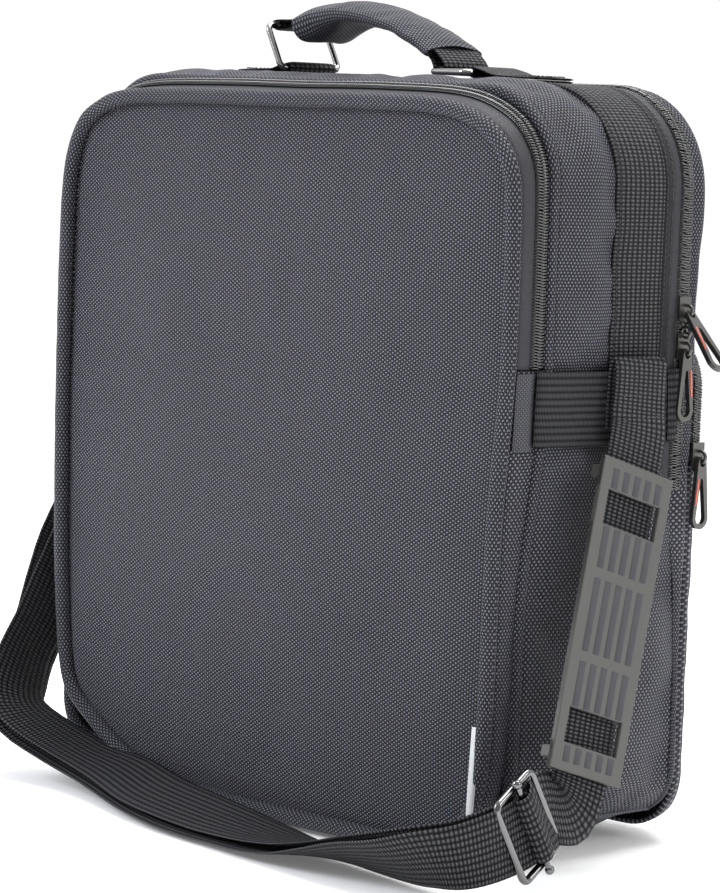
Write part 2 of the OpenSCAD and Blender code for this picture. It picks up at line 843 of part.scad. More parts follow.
// The bar lies on the frame's outer face, and its knobs stand past the side wires
module adjuster_bar() {
    bar_r = 1.5;
    color(gunmetal) aimed(adjuster_at, adjuster_dir, adjuster_out)
        translate([adjuster_r + bar_r + 0.3, 0, 0]) {
            rotate([90, 0, 0]) cylinder(h = adjuster_w + 6, r = bar_r, center = true);
            for (s = [-1, 1]) {
                translate([0, s * (adjuster_w / 2 + 3), 0]) sphere(2.5);
            }
        }
}

bottom_panel();
bottom_board();
dividing_wall();
dividing_foam();
main_gusset();
main_piping();
top_band();
cross_band_right();
cross_band_left();
binding_strip();
main_chain_front();
main_chain_rear_lower();
rear_wall();
front_web();
front_gusset();
front_panel_lower();
front_piping_lower();
zip_tab_right();
zip_tab_left();
front_chain_body();
seam_label();
front_panel_upper();
front_foam();
front_piping_upper();
front_tape();
front_chain_flap();
lid_panel();
lid_foam();
main_chain_lid();
back_pocket();
back_chain_body();
back_flap();
back_chain_flap();
front_slider();
front_pull();
main_slider_upper();
main_pull_upper();
main_slider_lower();
main_pull_lower();
back_slider();
back_pull();
handle_anchors();
ring_left();
ring_right();
handle_webbing();
grip_sleeve();
strap_anchor_right();
strap_anchor_left();
strap_ring();
strap_single();
strap_outer();
strap_inner();
shoulder_pad();
adjuster_frame();
adjuster_bar();
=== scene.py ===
"""Flight bag: soft fabric, zips, webbing and metal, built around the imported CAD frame.

Lengths are in millimetres here, and become metres where a mesh is built.
"""
import json
import math

import bmesh
import bpy
from mathutils import Matrix, Vector, noise

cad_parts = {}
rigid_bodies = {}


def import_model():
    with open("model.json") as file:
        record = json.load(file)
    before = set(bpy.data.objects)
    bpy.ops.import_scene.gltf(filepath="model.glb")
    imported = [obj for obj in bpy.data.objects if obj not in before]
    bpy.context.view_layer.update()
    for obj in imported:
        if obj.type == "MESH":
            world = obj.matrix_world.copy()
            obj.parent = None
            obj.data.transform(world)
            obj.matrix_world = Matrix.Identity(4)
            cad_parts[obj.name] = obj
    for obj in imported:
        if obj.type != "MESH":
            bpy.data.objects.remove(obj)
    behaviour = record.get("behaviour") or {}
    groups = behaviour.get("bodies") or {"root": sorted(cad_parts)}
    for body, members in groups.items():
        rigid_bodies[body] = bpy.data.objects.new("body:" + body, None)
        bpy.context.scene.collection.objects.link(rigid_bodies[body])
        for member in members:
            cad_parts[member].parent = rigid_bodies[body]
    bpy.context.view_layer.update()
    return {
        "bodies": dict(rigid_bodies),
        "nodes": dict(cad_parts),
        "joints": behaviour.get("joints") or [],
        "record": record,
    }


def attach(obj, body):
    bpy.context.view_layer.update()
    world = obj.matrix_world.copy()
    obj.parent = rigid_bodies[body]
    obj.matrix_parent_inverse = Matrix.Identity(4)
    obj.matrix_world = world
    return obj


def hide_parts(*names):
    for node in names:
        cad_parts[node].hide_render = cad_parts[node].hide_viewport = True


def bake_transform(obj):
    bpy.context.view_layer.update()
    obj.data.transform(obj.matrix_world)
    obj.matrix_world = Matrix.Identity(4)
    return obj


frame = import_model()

MM = 0.001
HW = 176.5  # half the bag's width
YF = -88.0  # the front panel's face
# Heights: the main zip's lower end, then the three fold lines
SIDE_Z = 188.0
FRONT_Z = 253.0
LID_Z = 274.4
FLAP_Z = 204.0
# Depths: the middle of the webbing band, the main zip and the back pocket's zip
Y_BAND = -3.0
Y_ZIP = 33.6
Y_POCKET = 50.6
# The handle's rings: their fixed bars, their length, and the left one's lean
RING_X = 71.5
RING_Z = 400.45
RING_L = 26.0
LEAN = math.radians(28)


def mix(a, b, t):
    return a + (b - a) * t


def ease(a, b, x):
    """0 before a, 1 after b, smooth between; a may be the larger."""
    t = min(1.0, max(0.0, (x - a) / (b - a)))
    return t * t * (3 - 2 * t)


def rough(x, y, z, size, seed=0.0):
    return noise.noise(Vector((x / size + seed, y / size - seed, z / size + 2.3 * seed)))


# ------------------------------------------------------------------ materials


class Graph:
    """Short names for building a material's nodes."""

    def __init__(self, name):
        self.mat = bpy.data.materials.new(name)
        self.mat.use_nodes = True
        self.tree = self.mat.node_tree
        self.shader = self.tree.nodes["Principled BSDF"]

    def put(self, socket, value):
        if isinstance(value, bpy.types.NodeSocket):
            self.tree.links.new(value, socket)
        else:
            socket.default_value = value

    def math(self, op, a, b=0.5, c=0.5):
        node = self.tree.nodes.new("ShaderNodeMath")
        node.operation = op
        for socket, value in zip(node.inputs, (a, b, c)):
            self.put(socket, value)
        return node.outputs[0]

    def uv(self):
        coords = self.tree.nodes.new("ShaderNodeTexCoord")
        split = self.tree.nodes.new("ShaderNodeSeparateXYZ")
        self.tree.links.new(coords.outputs["UV"], split.inputs[0])
        return split.outputs[0], split.outputs[1], coords

    def noise(self, coords, scale, detail=2.0):
        node = self.tree.nodes.new("ShaderNodeTexNoise")
        self.tree.links.new(coords.outputs["Object"], node.inputs["Vector"])
        node.inputs["Scale"].default_value = scale
        node.inputs["Detail"].default_value = detail
        return node.outputs[0]

    def bump(self, height, distance, strength=1.0):
        node = self.tree.nodes.new("ShaderNodeBump")
        node.inputs["Distance"].default_value = distance * MM
        node.inputs["Strength"].default_value = strength
        self.tree.links.new(height, node.inputs["Height"])
        self.tree.links.new(node.outputs[0], self.shader.inputs["Normal"])

    def tint(self, factor, dark, light):
        node = self.tree.nodes.new("ShaderNodeMix")
        node.data_type = "RGBA"
        self.put(node.inputs[0], factor)
        node.inputs[6].default_value = (*dark, 1)
        node.inputs[7].default_value = (*light, 1)
        self.tree.links.new(node.outputs[2], self.shader.inputs["Base Color"])

    def finish(self, **values):
        for name, value in values.items():
            socket = self.shader.inputs[name.replace("_", " ").title().replace("Ior", "IOR")]
            socket.default_value = (*value, 1) if isinstance(value, tuple) else value
        return self.mat


def woven(name, base, pitch_u, pitch_v, depth, pick=0.6, roughness=0.55, sheen=0.08, cloudy=0.1, sharp=1.0):
    """Plain weave of flat threads, pitch_u by pitch_v millimetres, in the mesh's own texture coordinates.
    Its colour is painted light: painted highlight on each thread's crown and painted shade in the gaps between
    threads.
    pick is how much darker the threads of one direction are painted, as a painted reflection difference, and sharp
    narrows the lit part of each."""
    g = Graph(name)
    u, v, coords = g.uv()
    cu = g.math("MULTIPLY", u, 1 / (pitch_u * MM))
    cv = g.math("MULTIPLY", v, 1 / (pitch_v * MM))
    su = g.math("SINE", g.math("MULTIPLY", g.math("FRACT", cu), math.pi))
    sv = g.math("SINE", g.math("MULTIPLY", g.math("FRACT", cv), math.pi))
    cell = g.math("ADD", g.math("FLOOR", cu), g.math("FLOOR", cv))
    odd = g.math("MODULO", g.math("ABSOLUTE", cell), 2.0)
    one = g.math("MULTIPLY", g.math("POWER", su, 0.6), g.math("MULTIPLY_ADD", sv, 0.55, 0.45))
    two = g.math("MULTIPLY", g.math("POWER", sv, 0.6), g.math("MULTIPLY_ADD", su, 0.55, 0.45))
    height = g.math("ADD", g.math("MULTIPLY", one, odd), g.math("MULTIPLY", two, g.math("SUBTRACT", 1.0, odd)))
    g.bump(height, depth)
    cloud = g.noise(coords, 14.0)
    # Painted light: lit is a painted highlight on each thread's crown, painted darker for one thread direction, and
    # the gaps between threads get painted shade.
    lit = g.math("MULTIPLY", g.math("POWER", height, sharp), g.math("MULTIPLY_ADD", odd, pick, 1.0 - pick))
    shade = g.math("MULTIPLY", lit, g.math("MULTIPLY_ADD", cloud, cloudy * 2, 1.0 - cloudy))
    g.tint(shade, tuple(c * 0.1 for c in base), tuple(c * (2.5 + sharp) for c in base))
    return g.finish(roughness=roughness, sheen_weight=sheen, sheen_roughness=0.45, sheen_tint=(0.75, 0.78, 1.0),
                    specular_ior_level=0.1)


def twilled(name, base, pitch, depth, roughness=0.6):
    g = Graph(name)
    u, v, coords = g.uv()
    along = g.math("MULTIPLY", g.math("ADD", u, v), 2 * math.pi / (pitch * MM))
    height = g.math("MULTIPLY_ADD", g.math("SINE", along), 0.5, 0.5)
    g.bump(height, depth)
    # Painted light: colour follows the rib height, with a painted highlight on each diagonal rib and painted shade in
    # the grooves between them.
    g.tint(g.math("MULTIPLY_ADD", height, 0.5, 0.25), tuple(c * 0.6 for c in base), tuple(c * 1.4 for c in base))
    return g.finish(roughness=roughness, specular_ior_level=0.15)


def solid(name, base, depth=0.0, scale=900.0, **values):
    g = Graph(name)
    if depth:
        g.bump(g.noise(g.uv()[2], scale), depth)
    return g.finish(base_color=base, **values)


BALLISTIC = woven("ballistic", (0.054, 0.0543, 0.064), 1.64, 1.05, 0.6, pick=0.85, roughness=0.42, sheen=0.01,
                  sharp=1.7)
LINING = woven("lining", (0.03, 0.03, 0.034), 0.7, 0.7, 0.08, pick=0.3, roughness=0.7, sheen=0.1)
UNDER = woven("under", (0.04, 0.0405, 0.045), 1.2, 1.05, 0.25, pick=0.5)
WEBBING = woven("webbing", (0.02, 0.02, 0.022), 2.0, 3.6, 1.1, pick=0.12, roughness=0.55, sheen=0.0, cloudy=0.05,
                sharp=2.6)
CROSSBAND = woven("cross band", (0.021, 0.021, 0.023), 0.95, 3.5, 1.2, pick=0.1, roughness=0.6, sheen=0.0,
                  cloudy=0.05, sharp=2.0)
TAPE = woven("zip tape", (0.026, 0.026, 0.029), 0.55, 0.55, 0.07, pick=0.3, roughness=0.5, sheen=0.0)
TWILL = twilled("binding twill", (0.026, 0.026, 0.0285), 1.3, 0.4)
THREAD = solid("thread", (0.04, 0.04, 0.044), roughness=0.5)
COIL = solid("coil", (0.01, 0.01, 0.011), roughness=0.2, specular_ior_level=1.0)
ZIP_METAL = solid("zip metal", (0.12, 0.118, 0.113), 0.02, metallic=0.9, roughness=0.34)
WIRE = solid("polished wire", (0.34, 0.335, 0.33), metallic=1.0, roughness=0.14)
GUN_WIRE = solid("gunmetal wire", (0.17, 0.17, 0.172), metallic=1.0, roughness=0.15)
RUBBER = solid("rubber", (0.07, 0.069, 0.065), 0.05, 700.0, roughness=0.4, specular_ior_level=0.5)
GROOVE = solid("rubber rib", (0.036, 0.0355, 0.042), 0.2, 2600.0, roughness=0.62)
FOAM = solid("foam", (0.2, 0.2, 0.21), 0.2, roughness=0.9)
SALMON = solid("salmon inlay", (0.72, 0.16, 0.11), roughness=0.5)
LABEL = woven("label", (0.33, 0.335, 0.34), 0.5, 0.5, 0.05, pick=0.2, roughness=0.4)

# --------------------------------------------------------------------- meshes


class Soup:
    """Faces of one mesh as grids of points, with texture coordinates."""

    def __init__(self):
        self.points, self.faces, self.coords = [], [], []

    def grid(self, rows, close_i=False, close_j=False, uv=None):
        """rows[j][i] are points. Texture coordinates run along the rows and across them, unless uv gives them."""
        nj, ni, base = len(rows), len(rows[0]), len(self.points)
        self.points += [tuple(p) for row in rows for p in row]
        us, vs = [0.0], [0.0]
        middle = rows[nj // 2]
        for i in range(ni):
            us.append(us[-1] + math.dist(middle[i], middle[(i + 1) % ni]))
        for j in range(nj):
            vs.append(vs[-1] + math.dist(rows[j][ni // 2], rows[(j + 1) % nj][ni // 2]))
        for j in range(nj if close_j else nj - 1):
            for i in range(ni if close_i else ni - 1):
                corners = ((i, j), (i + 1, j), (i + 1, j + 1), (i, j + 1))
                self.faces.append([base + (b % nj) * ni + a % ni for a, b in corners])
                self.coords.append([uv(rows[b % nj][a % ni]) if uv else (us[a], vs[b]) for a, b in corners])

    def fill(self, ring):
        base = len(self.points)
        self.points += [tuple(p) for p in ring]
        self.faces.append(list(range(base, base + len(ring))))
        self.coords.append([(p[0], p[2]) for p in ring])

    def tube(self, path, radius, up, sides=6, ends=True, close=False):
        """A round bead along path. radius and up are one value each, or one for each point."""
        rings = []
        n = len(path)
        for k, p in enumerate(path):
            a, b = ((path[(k - 1) % n], path[(k + 1) % n]) if close
                    else (path[max(k - 1, 0)], path[min(k + 1, n - 1)]))
            along = (Vector(b) - Vector(a)).normalized()
            top = Vector(up[k] if isinstance(up, list) else up)
            side = along.cross(top).normalized()
            top = side.cross(along)
            r = radius[k] if isinstance(radius, list) else radius
            turns = [2 * math.pi * q / sides for q in range(sides)]
            rings.append([Vector(p) + (top * math.cos(t) + side * math.sin(t)) * r for t in turns])
        self.grid(rings, close_i=True, close_j=close)
        if ends and not close:
            self.fill(rings[0])
            self.fill(rings[-1][::-1])

    def block(self, centre, size, frame=Matrix.Identity(4), bevel=0.3):
        """A box with its outer edges broken."""
        x, y, z = (s / 2 for s in size)
        rings = []
        for level, inset in ((-x, bevel), (-x + bevel, 0), (x - bevel, 0), (x, bevel)):
            a, b, c = y - inset, z - inset, bevel
            ring = [(-a, -b + c), (-a + c, -b), (a - c, -b), (a, -b + c), (a, b - c), (a - c, b), (-a + c, b),
                    (-a, b - c)]
            rings.append([frame @ (Vector(centre) + Vector((level, p, q))) for p, q in ring])
        self.grid(rings, close_i=True)
        self.fill(rings[0])
        self.fill(rings[-1][::-1])

    def strip(self, path, across, width, thick, count=12, wave=0.0):
        """Webbing along path: a flat strip with rounded edges, closed at its ends."""
        rows = []
        n = len(path)
        shares = [k / count for k in range(count + 1)]
        for k in range(n):
            p = Vector(path[k])
            along = (Vector(path[min(k + 1, n - 1)]) - Vector(path[max(k - 1, 0)])).normalized()
            w = Vector(across[k] if isinstance(across, list) else across)
            w = (w - along * w.dot(along)).normalized()
            out = along.cross(w)
            half = [thick / 2 * (1 - 0.75 * abs(2 * s - 1) ** 12) for s in shares]
            wide = width + wave * noise.noise(p * 0.05)
            face = [p + w * wide * (s - 0.5) + out * h for s, h in zip(shares, half)]
            back = [p + w * wide * (s - 0.5) - out * h for s, h in zip(shares, half)]
            rows.append((face, back[::-1]))
        lengths = [0.0]
        for k in range(1, n):
            lengths.append(lengths[-1] + math.dist(path[k], path[k - 1]))
        total = count + 1
        base = len(self.points)
        for face, back in rows:
            self.points += [tuple(p) for p in face + back]
        place = [s * width for s in shares] + [s * width for s in shares[::-1]]
        for k in range(n - 1):
            for i in range(2 * total):
                i2 = (i + 1) % (2 * total)
                self.faces.append([base + k * 2 * total + i, base + k * 2 * total + i2,
                                   base + (k + 1) * 2 * total + i2, base + (k + 1) * 2 * total + i])
                self.coords.append([(lengths[k], place[i]), (lengths[k], place[i2]),
                                    (lengths[k + 1], place[i2]), (lengths[k + 1], place[i])])
        for k in (0, n - 1):
            for i in range(count):
                a = base + k * 2 * total
                self.faces.append([a + i, a + i + 1, a + 2 * total - 2 - i, a + 2 * total - 1 - i])
                self.coords.append([(0, place[i])] * 4)

    def build(self, name, material, weld=0.02, flip=None):
        mesh = bpy.data.meshes.new(name)
        mesh.from_pydata([(x * MM, y * MM, z * MM) for x, y, z in self.points], [], self.faces)
        layer = mesh.uv_layers.new(name="UVMap")
        flat = [c * MM for face in self.coords for corner in face for c in corner]
        layer.data.foreach_set("uv", flat)
        work = bmesh.new()
        work.from_mesh(mesh)
        bmesh.ops.remove_doubles(work, verts=work.verts, dist=weld * MM)
        bmesh.ops.recalc_face_normals(work, faces=work.faces)
        if flip is not None:
            total = Vector((0, 0, 0))
            for face in work.faces:
                total += face.normal * face.calc_area()
            if total.dot(Vector(flip)) < 0:
                bmesh.ops.reverse_faces(work, faces=work.faces)
        work.to_mesh(mesh)
        work.free()
        mesh.shade_smooth()
        obj = bpy.data.objects.new(name, mesh)
        bpy.context.scene.collection.objects.link(obj)
        mesh.materials.append(material)
        return obj


def bake(obj):
    """Replaces obj's mesh by the one its modifiers make."""
    graph = bpy.context.evaluated_depsgraph_get()
    graph.update()
    mesh = bpy.data.meshes.new_from_object(obj.evaluated_get(graph))
    obj.modifiers.clear()
    obj.data = mesh
    return obj


def cloth(obj, held, pressure, limit, extra=0.0):
    """Blows fabric up off its held points for a moment; no point moves further than limit millimetres."""
    rest = [v.co.copy() for v in obj.data.vertices]
    group = obj.vertex_groups.new(name="held")
    group.add([k for k, p in enumerate(rest) if held(p.x / MM, p.y / MM, p.z / MM)], 1.0, "REPLACE")
    modifier = obj.modifiers.new("cloth", "CLOTH")
    settings = modifier.settings
    settings.quality = 5
    settings.mass = 0.25
    settings.tension_stiffness = settings.compression_stiffness = 12
    settings.shear_stiffness = 6
    settings.bending_stiffness = 1.2
    settings.vertex_group_mass = "held"
    settings.use_pressure = True
    settings.uniform_pressure_force = pressure
    settings.shrink_min = -extra
    settings.effector_weights.gravity = 0
    modifier.collision_settings.use_collision = False
    modifier.point_cache.frame_start, modifier.point_cache.frame_end = 1, 20
    for step in range(1, 21):
        bpy.context.scene.frame_set(step)
    moved = obj.evaluated_get(bpy.context.evaluated_depsgraph_get())
    found = [v.co.copy() for v in moved.data.vertices]
    obj.modifiers.clear()
    obj.vertex_groups.clear()
    bpy.context.scene.frame_set(1)
    for vertex, a, b in zip(obj.data.vertices, rest, found):
        d = b - a
        if d.length > limit * MM:
            d *= limit * MM / d.length
        vertex.co = a + d
    return obj


def thicken(obj, thick, subdivide=1):
    """Gives an open skin its padding, inwards."""
    if subdivide:
        modifier = obj.modifiers.new("smooth", "SUBSURF")
        modifier.levels = modifier.render_levels = subdivide
    modifier = obj.modifiers.new("padding", "SOLIDIFY")
    modifier.thickness = thick * MM
    modifier.offset = -1
    return bake(obj)


def dress(obj, slot, *nodes, body=None, blend=None, fill=None):
    """Puts a finished piece on its body, or, given blend, only bakes its placement into its mesh; hides the CAD nodes
    it replaces.
    """
    if blend:
        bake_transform(obj)
    else:
        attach(obj, body or "bag")
    if nodes:
        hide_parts(*nodes)
    return obj


# ------------------------------------------------------------------- outlines


def curve(rows, steps, closed=False):
    """Smooth curve through rows of numbers."""
    n = len(rows)
    out = []
    for k in range(n if closed else n - 1):
        quad = [rows[(k + q) % n] if closed else rows[min(max(k + q, 0), n - 1)] for q in (-1, 0, 1, 2)]
        for step in range(steps):
            t = step / steps
            out.append(tuple(0.5 * (2 * b + (c - a) * t + (2 * a - 5 * b + 4 * c - d) * t * t
                                    + (3 * b - a - 3 * c + d) * t ** 3) for a, b, c, d in zip(*quad)))
    if not closed:
        out.append(tuple(rows[-1]))
    return out


def spaced(points, step, closed=True):
    """Evenly spaced (x, z, normal x, normal z) along a line."""
    line = points + [points[0]] if closed else points
    sums = [0.0]
    for a, b in zip(line, line[1:]):
        sums.append(sums[-1] + math.dist(a, b))
    count = max(3, round(sums[-1] / step))
    out, k = [], 0
    for q in range(count if closed else count + 1):
        s = sums[-1] * q / count
        while k < len(sums) - 2 and sums[k + 1] < s:
            k += 1
        t = (s - sums[k]) / max(sums[k + 1] - sums[k], 1e-9)
        out.append((mix(line[k][0], line[k + 1][0], t), mix(line[k][1], line[k + 1][1], t)))
    n = len(out)
    full = []
    for k, (x, z) in enumerate(out):
        a, b = (out[k - 1], out[(k + 1) % n]) if closed else (out[max(k - 1, 0)], out[min(k + 1, n - 1)])
        size = math.dist(a, b)
        full.append((x, z, (b[1] - a[1]) / size, -(b[0] - a[0]) / size))
    return full


def rounded(half, z0, z1, top_r, low_r):
    """Rounded rectangle from the middle of its bottom, by its right side."""
    points = [(0.0, z0)]
    for cx, cz, r, a0 in ((half - low_r, z0 + low_r, low_r, -90), (half - top_r, z1 - top_r, top_r, 0),
                          (top_r - half, z1 - top_r, top_r, 90), (low_r - half, z0 + low_r, low_r, 180)):
        for k in range(13):
            turn = math.radians(a0 + 7.5 * k)
            points.append((cx + r * math.cos(turn), cz + r * math.sin(turn)))
    return points


MAIN = rounded(HW, 14, 394.5, 50, 26)
POCKET = rounded(HW - 2, 5, 270, 30, 30)
# The front pocket's edge: its lower corner on the left is pushed in
FRONT = curve([(0, 1), (62, 1.6), (108, 2.4), (140, 7), (162, 19), (173, 42), (176, 80), (176.5, 150), (176.5, 230),
               (176.3, 300), (174.5, 345), (165, 366), (148, 378.5), (118, 386), (60, 387.5), (0, 387), (-60, 387),
               (-124, 385), (-152, 376.5), (-166, 364), (-174.5, 340), (-176.5, 300), (-176, 220), (-173.5, 140),
               (-169.5, 90), (-165, 62), (-158, 45.5), (-141, 32), (-112, 15), (-87, 6.5), (-58, 2.4), (-28, 1.3)],
              8, closed=True)


def offset(points, inset, step):
    """The outline moved inwards, evenly spaced."""
    return [(x - nx * inset, z - nz * inset, nx, nz) for x, z, nx, nz in spaced(points, step)]


def cut(a, b, z):
    t = (z - a[1]) / (b[1] - a[1])
    return tuple(mix(p, q, t) for p, q in zip(a, b))


def above(path, z):
    """The part of a closed path over a height, from its right end to its left."""
    n = len(path)
    first = next(k for k in range(n) if path[k][1] > z)
    last = max(k for k in range(n) if path[k][1] > z)
    return ([cut(path[first - 1], path[first], z)] + path[first:last + 1]
            + [cut(path[last], path[(last + 1) % n], z)])


def below(path, z):
    """The part under a height, from its left end to its right."""
    n = len(path)
    first = next(k for k in range(n) if path[k][1] > z)
    last = max(k for k in range(n) if path[k][1] > z)
    return ([cut(path[last], path[(last + 1) % n], z)] + path[last + 1:] + path[:first]
            + [cut(path[first - 1], path[first], z)])


def swept(path, profile, shift=None):
    """Rows of points: profile's (depth, how far out) along path. shift(x, y, z) gives more depth and more outward."""
    rows = []
    for y, d in profile:
        row = []
        for x, z, nx, nz in path:
            dy, dd = shift(x, y, z) if shift else (0, 0)
            row.append((x + nx * (d + dd), y + dy, z + nz * (d + dd)))
        rows.append(row)
    return rows


def band(name, path, profile, thick, material, closed=True, shift=None):
    """A closed strip of fabric along path: its outer face is profile, and its inner one lies thick further in."""
    inner = [(y, d - thick) for y, d in reversed(profile)]
    soup = Soup()
    rows = swept(path, profile + inner, shift)
    soup.grid(rows, close_i=closed, close_j=True)
    if not closed:
        for k in (0, -1):
            m = len(profile)
            for j in range(m - 1):
                a, b = rows[j][k], rows[j + 1][k]
                c, d = rows[2 * m - 2 - j][k], rows[2 * m - 1 - j][k]
                soup.fill([a, b, c, d])
    return soup.build(name, material)


def patch(points, step):
    """A grid of (x, z) that fills an outline, and its edge as a closed path."""
    path = spaced(points, 1.5)
    n = len(path)
    corners = [max(range(n), key=lambda k: a * path[k][0] + b * path[k][1])
               for a, b in ((-1, -1), (1, -1), (1, 1), (-1, 1))]

    def leg(a, b, count):
        part = path[a:b] if a < b else path[a:] + path[:b]
        part = [(p[0], p[1]) for p in part] + [(path[b][0], path[b][1])]
        line = spaced(part, math.dist(part[0], part[-1]) / 1000, closed=False)
        return [line[round(k * (len(line) - 1) / count)][:2] for k in range(count + 1)]

    wide, high = round(2 * HW / step), round((max(p[1] for p in path) - min(p[1] for p in path)) / step)
    low, right = leg(corners[0], corners[1], wide), leg(corners[1], corners[2], high)
    top, left = leg(corners[2], corners[3], wide)[::-1], leg(corners[3], corners[0], high)[::-1]
    rows = []
    for j in range(high + 1):
        v = j / high
        row = []
        for i in range(wide + 1):
            u = i / wide
            row.append(tuple((1 - v) * low[i][q] + v * top[i][q] + (1 - u) * left[j][q] + u * right[j][q]
                             - (1 - u) * (1 - v) * low[0][q] - u * (1 - v) * low[-1][q]
                             - (1 - u) * v * top[0][q] - u * v * top[-1][q] for q in (0, 1)))
        rows.append(row)
    edge = low[:-1] + right[:-1] + top[::-1][:-1] + left[::-1][:-1]
    m = len(edge)
    full = []
    for k, (x, z) in enumerate(edge):
        a, b = edge[k - 1], edge[(k + 1) % m]
        size = math.dist(a, b)
        full.append((x, z, (b[1] - a[1]) / size, -(b[0] - a[0]) / size))
    return rows, full


def dish(name, points, step, depth, rim, material, flip):
    """A panel over an outline, with rim's (depth or a function of height, how far out) rows round its edge."""
    rows, edge = patch(points, step)
    soup = Soup()
    soup.grid([[(x, depth(x, z), z) for x, z in row] for row in rows], uv=lambda p: (p[0], p[2]))
    rings = [[(x, depth(x, z), z) for x, z, nx, nz in edge]]
    for y, d in rim:
        rings.append([(x + nx * d, y(x, z) if callable(y) else y, z + nz * d) for x, z, nx, nz in edge])
    if rim:
        soup.grid(rings, close_i=True)
    return soup.build(name, material, flip=flip)


def lean(x, z):
    """How far the front pocket's edge leans forwards, low down on the right."""
    return -5.6 * ease(262, 165, z) * ease(-150, 60, x)


def rise(y, z):
    """How far the zip's strip climbs over the front pocket's top, from the panel to the main body."""
    return 6.6 * ease(-90, -66, y) * max(0.0, min(1.0, (z - 337) / 50))


def lifted(path, y):
    return [(x + nx * rise(y, z), z + nz * rise(y, z), nx, nz) for x, z, nx, nz in path]


def gather(z):
    """How far the front seam of the main body comes forwards, low down."""
    return -12.5 * ease(256, 120, z)


# --------------------------------------------------------------- front pocket


def front_depth(x, z):
    edge = min(HW - 8 - abs(x), 379 - z, z - 9)
    crown = 3.2 * ease(0, 110, edge) - 1.2 * ease(14, 0, edge)
    return YF - 0.6 + lean(x, z) - crown + 0.5 * rough(x, 0, z, 90, 1) + 0.25 * rough(x, 0, z, 38, 5)


FRONT_BEND = ("bag", "front_flap", (0, -94, 249), (0, -94, 256.6))

panel = dish("front_panel", [(x, z) for x, z, _, _ in offset(FRONT, 7.4, 3)], 7.5, front_depth,
             [(lambda x, z: YF + 1.2 + lean(x, z), 1.6)], BALLISTIC, (0, -1, 0))
cloth(panel, lambda x, y, z: y > YF - 0.7 + lean(x, z) or abs(z - 252.8) < 2, 1.2, 2.2, extra=0.002)
thicken(panel, 5.2)
dress(panel, "ballistic_fabric", "front_panel_lower", "front_panel_upper", "front_foam", blend=FRONT_BEND, fill=0.5)

# The corded edge: fabric wrapped round a cord, gathered a little at the corners, with its seam inside
soup = Soup()
edge = offset(FRONT, 4.1, 2.5)
turns = [2 * math.pi * q / 16 for q in range(16)]
rows = []
for t in turns:
    row = []
    for x, z, nx, nz in edge:
        r = 4.25 + 0.16 * rough(x, 9 * t, z, 9, 3)
        y = -90.2 + lean(x, z)
        row.append((x + nx * r * math.cos(t), y + r * math.sin(t), z + nz * r * math.cos(t)))
    rows.append(row)
soup.grid(rows, close_i=True, close_j=True)
piping = soup.build("front_piping", BALLISTIC)
dress(piping, "ballistic_fabric", "front_piping_lower", "front_piping_upper", blend=FRONT_BEND, fill=1.0)


def stitches(soup, line, outs, pitch=3.4, length=2.5, radius=0.32):
    """A row of stitches that lie along a line, each a little sunk at its ends."""
    sums = [0.0]
    for a, b in zip(line, line[1:]):
        sums.append(sums[-1] + math.dist(a, b))

    def at(s):
        k = 0
        low, high = 0, len(sums) - 2
        while low < high:
            k = (low + high + 1) // 2
            if sums[k] <= s:
                low = k
            else:
                high = k - 1
        t = (s - sums[low]) / max(sums[low + 1] - sums[low], 1e-9)
        return Vector(line[low]).lerp(Vector(line[low + 1]), t), Vector(outs[low])

    s = 0.5
    while s + length < sums[-1]:
        (a, out), (b, _), (c, _) = at(s), at(s + length / 2), at(s + length)
        soup.tube([a - out * 0.2, b + out * 0.12, c - out * 0.2], [radius * 0.7, radius, radius * 0.7], out,
                  sides=5)
        s += pitch


def outline_stitches(soup, path, y, d, shift=None):
    line = swept(path, [(y, d)], shift)[0]
    stitches(soup, line, [(nx, 0, nz) for _, _, nx, nz in path])


# Its gusset below the zip, gathered between the two seams
gusset_profile = [(t, 0.0) for t in (0, 0.2, 0.4, 0.6, 0.8, 1.0)]


def front_side(x, y, z):
    """Places the gusset's rows, given as shares of its depth."""
    a, b = -87.0 + lean(x, z), -66.4 + gather(z)
    bulge = 4 * y * (1 - y)
    return mix(a, b, y) - y, -1.8 + 1.1 * bulge + 0.7 * bulge * rough(x, 30 * y, z, 16, 2)


low_edge = below(offset(FRONT, 0.6, 3), FRONT_Z - 0.5)
gusset = band("front_gusset_skin", low_edge, gusset_profile, 1.6, BALLISTIC, False, front_side)
dress(gusset, "ballistic_fabric", "front_gusset", fill=0.3)

# The zip's smooth tape, and the coil's two halves
high_edge = above(offset(FRONT, 2.0, 3), FRONT_Z)
tape = band("front_tape_skin", high_edge, [(-87.6, -0.4), (-84, 0.35), (-80, 0.45), (-77.5, 0.2), (-72.9, -0.2)],
            1.2,
            TAPE, False, lambda x, y, z: (0, rise(y, z)))
dress(tape, "zip_tape", "front_tape", body="front_flap")


